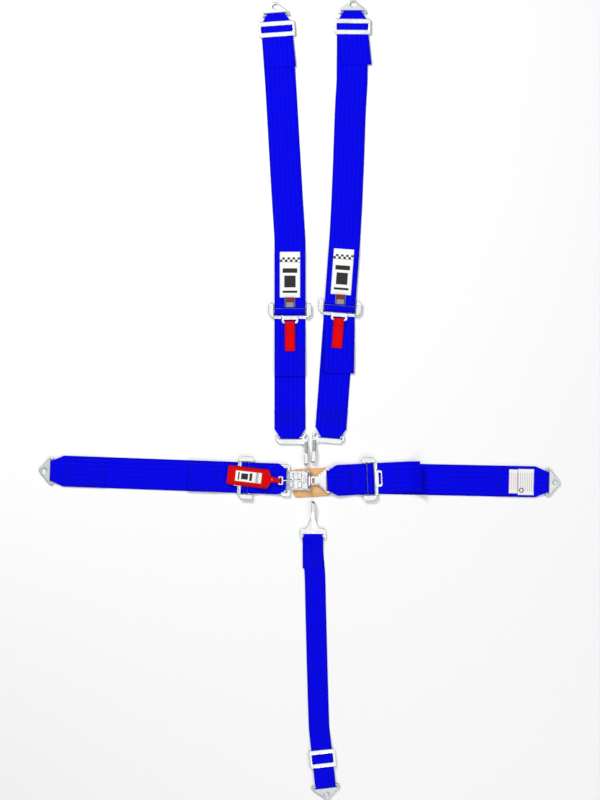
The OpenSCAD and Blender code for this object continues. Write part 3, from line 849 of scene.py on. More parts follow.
@dataclass
class Seam:
    """Rows of thread on a belt line, drawn as separate stitches."""

    line: Line
    height: Callable[[float], float]
    pitch: float = 3.9 * MM
    runs: list[tuple[Point, Point]] = field(default_factory=list)

    def row(self, s: float, half: float) -> "Seam":
        """Adds a row across the belt at s, from -half to half."""
        self.runs.append(((s, -half), (s, half)))
        return self

    def rows(self, places: Iterable[float], half: float) -> "Seam":
        """Adds rows across the belt at those places."""
        for s in places:
            self.row(s, half)
        return self

    def box(self, start: float, stop: float, half: float, cross: bool = False) -> "Seam":
        """Adds a box of stitches, with a cross in it if asked.

        Args:
            start: One end along the belt.
            stop: The other end.
            half: Half the box's width.
            cross: Whether it has a cross in it.

        Returns:
            The seam itself.
        """
        self.row(start, half).row(stop, half)
        self.runs += [((start, half), (stop, half)), ((start, -half), (stop, -half))]
        if cross:
            self.runs += [((start, half), (stop, -half)), ((start, -half), (stop, half))]
        return self

    def zigzag(self, start: float, stop: float, half: float, count: int) -> "Seam":
        """Adds a zigzag between two places along the belt.

        Args:
            start: One end along the belt.
            stop: The other end.
            half: Half the zigzag's width.
            count: How many legs it has.

        Returns:
            The seam itself.
        """
        turns = [start + (stop - start) * k / count for k in range(count + 1)]
        for k, (a, b) in enumerate(zip(turns, turns[1:])):
            side = half if k % 2 else -half
            self.runs.append(((a, side), (b, -side)))
        return self

    def sew(self, name: str, material: bpy.types.Material, look: Look) -> Piece:
        """Makes the stitches.

        Args:
            name: The piece's name.
            material: The thread.
            look: The record's slot that it takes its finish from.

        Returns:
            The piece, not yet on a body.
        """
        mesh = bmesh.new()
        for (s0, y0), (s1, y1) in self.runs:
            length = math.hypot(s1 - s0, y1 - y0)
            count = max(1, round(length / self.pitch))
            for k in range(count):
                t = (k + 0.5) / count
                s, y = s0 + (s1 - s0) * t, y0 + (y1 - y0) * t
                place = self.line.at(s, y, self.height(s))
                heading = self.line.direction * (s1 - s0) + self.line.side * (y1 - y0)
                turn = Matrix.Rotation(math.atan2(heading.y, heading.x), 4, "Z")
                size = Matrix.Diagonal((self.pitch * 0.46, 0.65 * MM, 0.36 * MM, 1))
                shape = Matrix.Translation(place) @ turn @ size
                bmesh.ops.create_icosphere(mesh, subdivisions=1, radius=1, matrix=shape)
        return Piece(name, mesh, material, look)


# ------------------------------------------------------------------ finishes in use


class Wardrobe:
    """Every material of the harness, made once."""

    def __init__(self) -> None:
        """Makes the materials."""
        # Solution-dyed polyester webbing, shoulder and lap width.
        self.blue = WebbingFinish(
            "blue_polyester_webbing", "0000FF", "0000A0", "2830FF", WIDE / 2).make()
        # The same cloth, woven in the crotch belt's width.
        self.blue_narrow = WebbingFinish(
            "blue_polyester_webbing_narrow", "0000FF", "0000A0", "2830FF", CROTCH / 2).make()
        # Piece-dyed nylon tape of the pull tabs.
        self.red_tape = WebbingFinish(
            "red_nylon_tape", "FF0404", "A80204", "FF4038", 12.7 * MM, 1.5 * MM).make()
        # The same nylon, woven wider for the latch handle.
        self.red_wide = WebbingFinish(
            "red_nylon_handle", "F80406", "980204", "FF4038", 23.5 * MM, 1.7 * MM).make()
        # Bonded nylon thread, sewn by lockstitch.
        self.blue_thread = ThreadFinish("blue_bonded_thread", "010166").make()
        self.red_thread = ThreadFinish("red_bonded_thread", "8A0206").make()
        # Waxed linen thread, saddle-stitched.
        self.tan_thread = ThreadFinish("tan_waxed_thread", "F2DFC0").make()
        # Drum-dyed split leather.
        self.leather = LeatherFinish("tan_split_leather", "F7C48C", "D8A066").make()
        # Stamped steel, bright zinc over a polished face.
        self.plated = SteelFinish("bright_zinc_stamping", "F6F8FA", 0.1, 0.14).make()
        # Heavier plate, blasted before plating.
        self.plate = SteelFinish("blasted_zinc_plate", "CBD0D2", 0.2, 0.2).make()
        # Lock bar with rolled knurling.
        self.knurled = SteelFinish("knurled_bar_steel", "A9ADB0", 0.28, knurl=1.6 * MM).make()
        # Drawn wire and turned pin.
        self.wire = SteelFinish("drawn_spring_wire", "B0B4B8", 0.22).make()

    def dress_cad(self) -> None:
        """Gives each steel CAD node its finish and softened stamped edges."""
        by_slot = {
            "plated_steel": self.plated,
            "bracket_steel": self.plate,
            "knurled_steel": self.knurled,
            "pin_steel": self.wire,
        }
        for part in RECORD["subparts"]:
            finish = by_slot.get(part["material_slot"])
            if finish is None:
                continue
            node = frame["nodes"][part["node"]]
            node.data.materials.clear()
            node.data.materials.append(finish)
            edge = node.modifiers.new("stamped_edge", "BEVEL")
            edge.width = 0.4 * MM
            edge.segments = 2
            edge.limit_method = "ANGLE"
            edge.angle_limit = math.radians(40)
            edge.harden_normals = True


# ------------------------------------------------------------------ sub-assemblies


def flat_label(name: str, line: Line, start: float, size: Point, z: float, finish: bpy.types.Material,
               look: Look = Look.LABEL, y: float = 0.0) -> Piece:
    """A woven label that lies on a belt.

    Args:
        name: The piece's name.
        line: The belt's line.
        start: Where the label starts along the line.
        size: Its length and width.
        z: The height of its middle.
        finish: Its material.
        look: The record's slot.
        y: How far its middle is from the belt's.

    Returns:
        The label.
    """
    path = spaced([(start, z), (start + size[0], z)])
    stations = [Station(line.at(s, y, h), line.side, size[1]) for s, h in path]
    piece, _ = band(name, stations, finish, look, 0.6 * MM)
    return piece


@dataclass
class Adjuster:
    """The webbing at a tilt-lock adjuster: the bight round its lock bar and the free end."""

    name: str
    line: Line
    body: str
    tail_length: float
    tail_turn: float = 0.0
    curl: float = 0.0
    lock_s: float = -13.5 * MM
    lock_l: float = 9 * MM
    lock_t: float = 4.4 * MM
    slack: float = 0.3 * MM
    tab_out: float = 15.5 * MM
    flat_z: float = SECOND_Z + 2 * MM

    def bight(self, blue: bpy.types.Material) -> None:
        """Builds the bight, which moves with the lock bar.

        Args:
            blue: The webbing's finish.
        """
        r = self.lock_t / 2 + 0.3 * MM + LAYER / 2
        z = SECOND_Z + LAYER / 2 + 0.3 * MM + self.lock_t / 2
        left = self.lock_s - self.lock_l / 2 + self.lock_t / 2 - self.slack
        right = self.lock_s + self.lock_l / 2 - self.lock_t / 2
        path = [(right + 2.5 * MM, z - r), *arc(left, z, r, 270, 90, 14),
                *arc(right + 0.3 * MM, z, r, 90, 10, 7), (right + r + 1.5 * MM, z - 2.2 * MM),
                (right + r + 2.9 * MM, SECOND_Z + 0.3 * MM), (right + r + 4.4 * MM, SECOND_Z)]
        stations = on_line(self.line, spaced(path), plain(WIDE))
        piece, length = band(f"{self.name}_bight_cloth", stations, blue, Look.BLUE)
        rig.sheet(piece.object, (WIDE, length), "folded", [f"{self.name}_bar"])
        piece.ride(f"{self.name}_lock", f"{self.name}_bight")

    def free_path(self) -> list[Point]:
        """The free end's side view, flat with a folded hem or with a raised tip.

        Returns:
            Points in s and z.
        """
        flat, tip = self.flat_z, self.tail_length
        rise = [(0.8 * MM, SECOND_Z), (self.tab_out + 4 * MM, SECOND_Z),
                (self.tab_out + 24 * MM, flat)]
        if self.curl:
            bend = tip - HEM * 0.55
            raised = [(bend, flat), (bend + 14 * MM, flat + 1.5 * MM),
                      (tip - 12 * MM, flat + self.curl * 0.55),
                      (tip - 5 * MM, flat + self.curl * 0.8), (tip - 3 * MM, flat + self.curl)]
            return rounded(rise + raised, 3)
        end = tip - LAYER / 2
        start = rounded([*rise, (end - OVER / 2, flat)])
        fold = arc(end - OVER / 2, flat + OVER / 2, OVER / 2, -90, 90, 6)
        return [*start[:-1], *fold, (end - HEM, flat + OVER)]

    def free_end(self, clothes: Wardrobe) -> None:
        """Builds the free end with its hem, which slides out as the belt is pulled.

        Args:
            clothes: The finishes.
        """
        turned = Matrix.Rotation(math.radians(self.tail_turn), 3, "Z") @ self.line.direction
        line = Line(self.line.origin, turned)
        stations = on_line(line, spaced(self.free_path()), plain(WIDE))
        piece, length = band(f"{self.name}_free_cloth", stations, clothes.blue, Look.BLUE)
        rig.sheet(piece.object, (WIDE, length), "laid", [f"{self.name}_webbing"])
        free = f"{self.name}_free_end"
        stop = line.at(min(self.tail_length - HEM, 60 * MM))
        piece.blend(self.body, free, line.at(0), stop, f"{self.name}_tail")
        half = WIDE / 2 - 5 * MM
        if self.curl:
            seam = Seam(line, lambda s: self.flat_z + LAYER / 2).rows([52 * MM, 57 * MM], half)
        else:
            seam = Seam(line, lambda s: self.flat_z + OVER + LAYER / 2)
            seam.box(self.tail_length - HEM + 3 * MM, self.tail_length - 7 * MM, half)
        seam.sew(f"{self.name}_hem_thread", clothes.blue_thread, Look.BLUE).ride(free)

    def build(self, clothes: Wardrobe) -> None:
        """Builds both pieces."""
        self.bight(clothes.blue)
        self.free_end(clothes)


@dataclass
class LapBelt:
    """A lap belt from its adjuster to its bolt-in bracket."""

    name: str
    line: Line
    adjuster: Adjuster
    body: str
    length: float
    sewn: float = 132 * MM
    tip: float = 48 * MM

    def build(self, clothes: Wardrobe) -> None:
        """Builds the webbing, its seams and the adjuster's webbing.

        Args:
            clothes: The finishes.
        """
        bar = self.length + BRACKET_BAR_S
        path = rounded([(-5 * MM, RUN_Z), (bar - 22 * MM, RUN_Z), (bar, RUN_Z)])[:-1]
        path += arc(bar, LOW_BAR_Z, LOOP_R, -90, 90)
        path += rounded([(bar - 4 * MM, LOW_BAR_Z + LOOP_R - 0.3 * MM), (bar - 22 * MM, RUN_Z + OVER),
                         (bar - self.sewn, RUN_Z + OVER)])
        width = narrowing(bar + LOOP_R, self.tip, 32 * MM, WIDE)
        stations = on_line(self.line, spaced(path), width)
        piece, length = band(f"{self.name}_belt_cloth", stations, clothes.blue, Look.BLUE)
        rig.sheet(piece.object, (WIDE, length), "laid", [f"{self.name}_bracket"])
        moving = f"{self.name}_belt"
        stop = self.line.at(bar - self.sewn - 12 * MM)
        piece.blend(self.body, moving, self.line.at(10 * MM), stop, f"{self.name}_webbing")
        top = RUN_Z + OVER + LAYER / 2
        seam = Seam(self.line, lambda s: top)
        seam.box(bar - self.sewn + 6 * MM, bar - 34 * MM, WIDE / 2 - 7 * MM)
        seam.zigzag(bar - self.sewn + 10 * MM, bar - 38 * MM, WIDE / 2 - 12 * MM, 6)
        seam.sew(f"{self.name}_anchor_thread", clothes.blue_thread, Look.BLUE).ride(moving)
        self.adjuster.build(clothes)


@dataclass
class Pad:
    """The crowned leather pad under the latch, with a stitched edge."""

    length: float = 92 * MM
    width: float = 70 * MM
    turn: float = 3.0
    corner: float = 9 * MM
    crown: float = 9 * MM
    inset: float = 5 * MM

    def shaped(self, u: float, v: float, thick: float, top: bool) -> Vector:
        """Moves a point of a unit square to the pad's rounded outline and swollen faces.

        Args:
            u: Its place along the pad, from -0.5 to 0.5.
            v: Its place across the pad, from -0.5 to 0.5.
            thick: The pad's thickness.
            top: Whether it is on the upper face.

        Returns:
            The point, about the pad's middle.
        """
        x, y = u * self.length, v * self.width
        rim_x, rim_y = self.length / 2 - abs(x), self.width / 2 - abs(y)
        over_x, over_y = max(0.0, self.corner - rim_x), max(0.0, self.corner - rim_y)
        if over_x and over_y:
            keep = max(over_x, over_y) / math.hypot(over_x, over_y)
            x = math.copysign(abs(x) - over_x * (1 - keep), x)
            y = math.copysign(abs(y) - over_y * (1 - keep), y)
        rim = min(rim_x, rim_y)
        swell = min(1.0, max(0.0, rim / self.crown)) ** 0.5
        groove = 0.22 * math.exp(-(((rim - self.inset) / (1.6 * MM)) ** 2))
        high = 0.42 + 0.58 * swell - groove if top else 0.12 * (1 - swell)
        return Vector((x, y, thick * high))

    def build(self, clothes: Wardrobe) -> None:
        """Builds the pad and its seam.

        Args:
            clothes: The finishes.
        """
        low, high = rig.box("buckle_pad")
        middle = Vector(((low.x + high.x) / 2, (low.y + high.y) / 2, 0))
        turn = Matrix.Rotation(math.radians(self.turn), 4, "Z")
        thick = high.z - low.z
        mesh = bmesh.new()
        bmesh.ops.create_grid(mesh, x_segments=40, y_segments=32, size=0.5)
        skin = bmesh.ops.extrude_face_region(mesh, geom=mesh.faces[:])
        raised = {part for part in skin["geom"] if isinstance(part, bmesh.types.BMVert)}
        for vert in mesh.verts:
            vert.co = self.shaped(vert.co.x, vert.co.y, thick, vert in raised)
        bmesh.ops.recalc_face_normals(mesh, faces=mesh.faces)
        mesh.transform(Matrix.Translation(middle) @ turn)
        piece = Piece("buckle_pad_leather", mesh, clothes.leather, Look.LEATHER)
        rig.padded(piece.object, 0.7)
        piece.ride("buckle", "buckle_pad")
        seam = Seam(Line(middle, turn @ Vector((1, 0, 0))), lambda s: thick * 0.78, 5 * MM)
        x, y = self.length / 2 - self.inset, self.width / 2 - self.inset
        cut = 5 * MM
        seam.runs += [((-x + cut, side), (x - cut, side)) for side in (-y, y)]
        seam.runs += [((side, -y + cut), (side, y - cut)) for side in (-x, x)]
        seam.sew("buckle_pad_thread", clothes.tan_thread, Look.LEATHER).ride("buckle")


@dataclass
class ShortStrap:
    """A strap sewn round an adjuster's rear bar and round a bar behind it.

    Attributes:
        name: The CAD node that it stands for.
        line: The adjuster's line.
        body: The body that it rides on.
        holder: The CAD node with the other bar.
        far: How far that bar is behind the crossbar.
        far_z: The height of that bar.
        tip: The strap's width there.
        corner: The length of its cut corners there.
    """

    name: str
    line: Line
    body: str
    holder: str
    far: float
    far_z: float
    tip: float
    corner: float

    def path(self) -> list[Point]:
        """The strap's side view, from its end on top, round both bars and back over it."""
        near, far = SECOND_Z, self.far_z - LOOP_R
        return [
            (-58 * MM, near + OVER), (REAR_BAR_S - 22 * MM, near + OVER),
            (REAR_BAR_S - 4 * MM, REAR_BAR_Z + LOOP_R - 0.3 * MM),
            *arc(REAR_BAR_S, REAR_BAR_Z, LOOP_R, 90, -90),
            (-60 * MM, near), (-self.far + 22 * MM, max(near, far - 1 * MM)),
            *arc(-self.far, self.far_z, LOOP_R, -90, -270),
            (-self.far + 4 * MM, self.far_z + LOOP_R - 0.3 * MM),
            (-self.far + 24 * MM, far + OVER + 0.3 * MM), (-62 * MM, near + OVER + 0.1 * MM),
        ]

    def build(self, clothes: Wardrobe) -> None:
        """Builds the strap and its rows of stitches.

        Args:
            clothes: The finishes.
        """
        width = narrowing(self.far + LOOP_R, self.tip, self.corner, WIDE)
        stations = on_line(self.line, spaced(self.path()), lambda s: width(-s))
        piece, length = band(f"{self.name}_cloth", stations, clothes.blue, Look.BLUE)
        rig.sheet(piece.object, (WIDE, length), "folded", [self.holder])
        piece.ride(self.body, self.name)
        seam = Seam(self.line, lambda s: SECOND_Z + OVER + LAYER / 2 + 0.1 * MM)
        seam.rows([-56 * MM, -61 * MM, -66 * MM, -71 * MM, -78 * MM], WIDE / 2 - 6 * MM)
        seam.sew(f"{self.name}_thread", clothes.blue_thread, Look.BLUE).ride(self.body)


@dataclass
class PullHandle:
    """The red handle on the lever's ring: a folded tape with a seam, a rivet and a label."""

    length: float = 127 * MM
    full: float = 47 * MM
    turn: float = 173.3
    tape: float = 1.2 * MM
    neck: float = 12 * MM
    shoulder: float = 26 * MM
    eye: float = 3.5 * MM
    label: Point = (64 * MM, 26 * MM)

    def width(self, s: float) -> float:
        """The width at s: a narrow neck, then the full width with cut corners.

        Args:
            s: The place along the line.

        Returns:
            The width in metres.
        """
        if s < self.shoulder - 3 * MM:
            return 10 * MM + max(0.0, s - 6 * MM) / self.shoulder * 10 * MM
        rise = (s - self.shoulder + 3 * MM) / (4 * MM)
        share = min(1.0, rise, (self.length + 3 * MM - s) / (5 * MM))
        return 18 * MM + (self.full - 18 * MM) * max(0.6, share)

    def build(self, clothes: Wardrobe) -> None:
        """Builds the handle and what is on it.

        Args:
            clothes: The finishes.
        """
        pivot = Vector(JOINTS["handle_lift"]["pos_m"])
        turn = math.radians(self.turn)
        line = Line(Vector((pivot.x, pivot.y, 0)), Vector((math.cos(turn), math.sin(turn), 0)))
        low = pivot.z - 3.4 * MM + self.tape / 2
        top = low + self.tape + 0.06 * MM
        face = top + self.tape / 2
        fold = self.length - self.tape
        path = [(self.neck + 6 * MM, top + 0.5 * MM), (8 * MM, pivot.z + 2.4 * MM),
                *arc(0, pivot.z, self.eye, 90, 270, 10), (6 * MM, low), (self.neck, low),
                (fold, low), *arc(fold, low + self.tape / 2, self.tape / 2, -90, 90, 6),
                (self.neck + 8 * MM, top)]
        stations = on_line(line, spaced(path, 4 * MM), self.width)
        piece, length = band("latch_handle_cloth", stations, clothes.red_wide, Look.RED, self.tape)
        area = length * self.full * 0.85
        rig.sheet(piece.object, (self.full, length), "folded", ["latch_lever"], area=area)
        piece.ride("handle", "latch_handle")
        seam = Seam(line, lambda s: face, 3.4 * MM)
        seam.box(self.shoulder + 5 * MM, self.length - 5 * MM, self.full / 2 - 4 * MM)
        seam.sew("latch_handle_thread", clothes.red_thread, Look.RED).ride("handle")
        finish = LabelFinish("woven_handle_label", Pattern.CHECKER, self.label).make()
        name = "handle_label_cloth"
        label = flat_label(name, line, 43 * MM, self.label, face + LABEL_UP, finish)
        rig.sheet(label.object, (self.label[1], self.label[0]), "laid", ["latch_handle_cloth"])
        label.ride("handle", "handle_label")
        self.rivet(line.at(17 * MM, 0, face), clothes)

    def rivet(self, place: Vector, clothes: Wardrobe) -> None:
        """Builds the domed rivet through the neck.

        Args:
            place: Its middle.
            clothes: The finishes.
        """
        mesh = bmesh.new()
        bmesh.ops.create_uvsphere(mesh, u_segments=20, v_segments=10, radius=1)
        dome = Matrix.Diagonal((2.3 * MM, 2.3 * MM, 1.1 * MM, 1))
        mesh.transform(Matrix.Translation(place) @ dome)
        Piece("latch_handle_rivet", mesh, clothes.plated, Look.RED).ride("handle")


@dataclass
class ShoulderBelt:
    """A shoulder belt: lower belt, adjuster, upper belt, labels, tab and bracket end."""

    name: str
    line: Line
    top: Line
    low_length: float
    middle: Sequence[Point]
    tail: float
    tail_turn: float
    top_end: float
    top_turn: float
    tab_width: float = 25.4 * MM

    def lower(self, clothes: Wardrobe) -> None:
        """Builds the belt from the adjuster to the fitting's bar.

        Args:
            clothes: The finishes.
        """
        bar = self.low_length
        path = [(-5 * MM, RUN_Z), (bar - 1 * MM, RUN_Z), *arc(bar, LOW_BAR_Z, LOOP_R, -90, 90)]
        path += rounded([(bar - 4 * MM, LOW_BAR_Z + LOOP_R - 0.3 * MM), (bar - 22 * MM, RUN_Z + OVER),
                         (bar - 68 * MM, RUN_Z + OVER)])
        width = narrowing(bar + LOOP_R, 45 * MM, 23 * MM, WIDE)
        stations = on_line(self.line, spaced(path), width)
        piece, length = band(f"{self.name}_lower_cloth", stations, clothes.blue, Look.BLUE)
        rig.sheet(piece.object, (WIDE, length), "laid", [f"{self.name}_fitting"])
        piece.ride(f"{self.name}_belt", f"{self.name}_webbing")
        top = RUN_Z + OVER + LAYER / 2
        seam = Seam(self.line, lambda s: top)
        seam.rows([bar - 65 * MM, bar - 60 * MM, bar - 32 * MM], WIDE / 2 - 6 * MM)
        seam.zigzag(bar - 56 * MM, bar - 36 * MM, WIDE / 2 - 8 * MM, 5)
        thread = seam.sew(f"{self.name}_lower_thread", clothes.blue_thread, Look.BLUE)
        thread.ride(f"{self.name}_belt")

    def near_end(self) -> list[Station]:
        """The sewn loop round the adjuster's rear bar, from its end on top.

        Returns:
            Stations along it.
        """
        over = [(-162 * MM, SECOND_Z + OVER), (REAR_BAR_S - 18 * MM, SECOND_Z + OVER),
                (REAR_BAR_S - 4 * MM, REAR_BAR_Z + LOOP_R - 0.3 * MM)]
        under = [*arc(REAR_BAR_S, REAR_BAR_Z, LOOP_R, 90, -90), (-164 * MM, SECOND_Z),
                 (-190 * MM, RUN_Z)]
        return on_line(self.line, spaced(rounded(over) + under), plain(WIDE))

    def far_end(self) -> list[Station]:
        """The way through the slide, round the bracket's bar and back to a turned free end.

        Returns:
            Stations along it.
        """
        bar = BRACKET_BAR_S
        path = spaced([(-172 * MM, RUN_Z), (-150 * MM, SLIDE_LOW_Z), (-42 * MM, SLIDE_LOW_Z),
                       (-30 * MM, RUN_Z + 0.2 * MM), *arc(bar, LOW_BAR_Z, LOOP_R, -90, 90),
                       (-27 * MM, SLIDE_HIGH_Z + 1.4 * MM), (-38 * MM, SLIDE_HIGH_Z),
                       (self.top_end, SLIDE_HIGH_Z)])
        width = narrowing(bar + LOOP_R, 42 * MM, 26 * MM, WIDE)
        turn_back = next(i for i, (s, _) in enumerate(path) if s >= bar)
        stations = []
        for i, (s, z) in enumerate(path):
            aside = max(0.0, -62 * MM - s) * self.top_turn if i > turn_back else 0.0
            stations.append(Station(self.top.at(s, -aside, z), -self.top.side, width(s)))
        return stations

    def route(self) -> list[Station]:
        """The upper belt's way from the adjuster's rear bar to the bracket and back.

        Returns:
            Stations along it.
        """
        start, stop = self.line.at(-190 * MM).to_2d(), self.top.at(-190 * MM).to_2d()
        between = plan([start, *[Vector(p) * MM for p in self.middle], stop], WIDE)
        return self.near_end() + between + self.far_end()

    def upper(self, clothes: Wardrobe) -> None:
        """Builds the upper belt, its seams, its label and its tag.

        Args:
            clothes: The finishes.
        """
        name = f"{self.name}_upper_cloth"
        piece, length = band(name, self.route(), clothes.blue, Look.BLUE)
        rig.sheet(piece.object, (WIDE, length), "laid", [f"{self.name}_bracket"])
        body = f"{self.name}_adjuster"
        piece.ride(body, f"{self.name}_upper")
        top = SECOND_Z + OVER + LAYER / 2
        seam = Seam(self.line, lambda s: top).box(-158 * MM, -54 * MM, WIDE / 2 - 6 * MM)
        seam.sew(f"{self.name}_upper_thread", clothes.blue_thread, Look.BLUE).ride(body)
        label, tag = (112 * MM, 50 * MM), (24 * MM, 25 * MM)
        loop_top = REAR_BAR_Z + LOOP_R + LAYER / 2
        self.woven("label", Look.LABEL, Pattern.CHECKER, -160 * MM, label, top + LABEL_UP)
        self.woven("tag", Look.TAG, Pattern.TAG, -48 * MM, tag, loop_top + 2 * LABEL_UP)

    def woven(self, kind: str, look: Look, pattern: Pattern, start: float, size: Point,
              z: float) -> None:
        """Adds the label or the tag of that kind, at start and z on the upper belt.

        Args:
            kind: The last word of its name.
            look: The record's slot.
            pattern: What is woven into it.
            start: Where it starts along the adjuster's line.
            size: Its length and width.
            z: The height of its middle.
        """
        finish = LabelFinish(f"woven_{self.name}_{kind}", pattern, size).make()
        label = flat_label(f"{self.name}_{kind}_cloth", self.line, start, size, z, finish, look)
        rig.sheet(label.object, (size[1], size[0]), "laid", [f"{self.name}_upper_cloth"])
        label.ride(f"{self.name}_adjuster", f"{self.name}_{kind}")

    def pull_tab(self, clothes: Wardrobe) -> None:
        """Builds the red tab that is sewn through the adjuster's slot.

        Args:
            clothes: The finishes.
        """
        tape = 1.3 * MM
        bar, z = TAB_SLOT_S, TAB_SLOT_Z
        flat = SECOND_Z + 6 * MM
        end = bar + 70 * MM
        path = [(bar + 3.4 * MM, z - 1.7 * MM), *arc(bar, z, 3 * MM, 285, 75, 12),
                (bar + 9 * MM, flat), (end - tape, flat),
                *arc(end - tape, flat + tape / 2, tape / 2, -90, 90, 6), (bar + 12 * MM, flat + tape)]
        stations = on_line(self.line, spaced(path, 4 * MM), plain(self.tab_width))
        piece, length = band(f"{self.name}_tab_cloth", stations, clothes.red_tape, Look.RED, tape)
        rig.sheet(piece.object, (self.tab_width, length), "folded", [f"{self.name}_frame"])
        piece.ride(f"{self.name}_pull", f"{self.name}_tab")
        seam = Seam(self.line, lambda s: flat + tape * 1.5, 3 * MM)
        seam.box(bar + 15 * MM, bar + 30 * MM, 9 * MM, True).row(end - 5 * MM, 10 * MM)
        seam.sew(f"{self.name}_tab_thread", clothes.red_thread, Look.RED).ride(f"{self.name}_pull")

    def build(self, clothes: Wardrobe) -> None:
        """Builds the whole belt.

        Args:
            clothes: The finishes.
        """
        self.lower(clothes)
        self.upper(clothes)
        self.pull_tab(clothes)
        body = f"{self.name}_adjuster"
        Adjuster(self.name, self.line, body, self.tail, self.tail_turn).build(clothes)


@dataclass
class CrotchBelt:
    """The crotch belt, sewn to its fitting and threaded through its slide and bracket."""

    start: Line
    end: Line
    middle: Sequence[Point]

    def build(self, clothes: Wardrobe) -> None:
        """Builds the webbing and its seams.

        Args:
            clothes: The finishes.
        """
        first = [(-80 * MM, RUN_Z + OVER), (-22 * MM, RUN_Z + OVER),
                 (-4 * MM, LOW_BAR_Z + LOOP_R - 0.3 * MM), *arc(0, LOW_BAR_Z, LOOP_R, 90, -90),
                 (-40 * MM, RUN_Z)]
        stations = on_line(self.start, spaced(first), narrowing(LOOP_R, 44 * MM, 10 * MM, CROTCH))
        start, stop = self.start.at(-40 * MM).to_2d(), self.end.at(-165 * MM).to_2d()
        stations += plan([start, *[Vector(p) * MM for p in self.middle], stop], CROTCH)
        bar = BRACKET_BAR_S
        last = [(-152 * MM, RUN_Z), (-132 * MM, SLIDE_HIGH_Z), (-58 * MM, SLIDE_HIGH_Z),
                (-36 * MM, LOW_BAR_Z + LOOP_R - 0.4 * MM), *arc(bar, LOW_BAR_Z, LOOP_R, 90, -90),
                (-34 * MM, RUN_Z + 0.4 * MM), (-48 * MM, SLIDE_LOW_Z), (-126 * MM, SLIDE_LOW_Z)]
        width = narrowing(bar + LOOP_R, 48 * MM, 10 * MM, CROTCH)
        for s, z in spaced(last):
            stations.append(Station(self.end.at(s, 0, z), -self.end.side, width(s)))
        piece, length = band("crotch_belt_cloth", stations, clothes.blue_narrow, Look.BLUE)
        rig.sheet(piece.object, (CROTCH, length), "laid", ["crotch_fitting"])
        piece.ride("crotch_belt", "crotch_webbing")
        seam = Seam(self.start, lambda s: RUN_Z + OVER + LAYER / 2)
        seam.rows([-24 * MM, -72 * MM, -77 * MM], CROTCH / 2 - 4 * MM)
        seam.zigzag(-28 * MM, -68 * MM, CROTCH / 2 - 6 * MM, 4)
        seam.sew("crotch_belt_thread", clothes.blue_thread, Look.BLUE).ride("crotch_belt")


@dataclass(frozen=True)
class Lamp:
    """A square soft light: its place over the table, its size in metres and its watts."""

    name: str
    place: tuple[float, float, float]
    size: float
    power: float


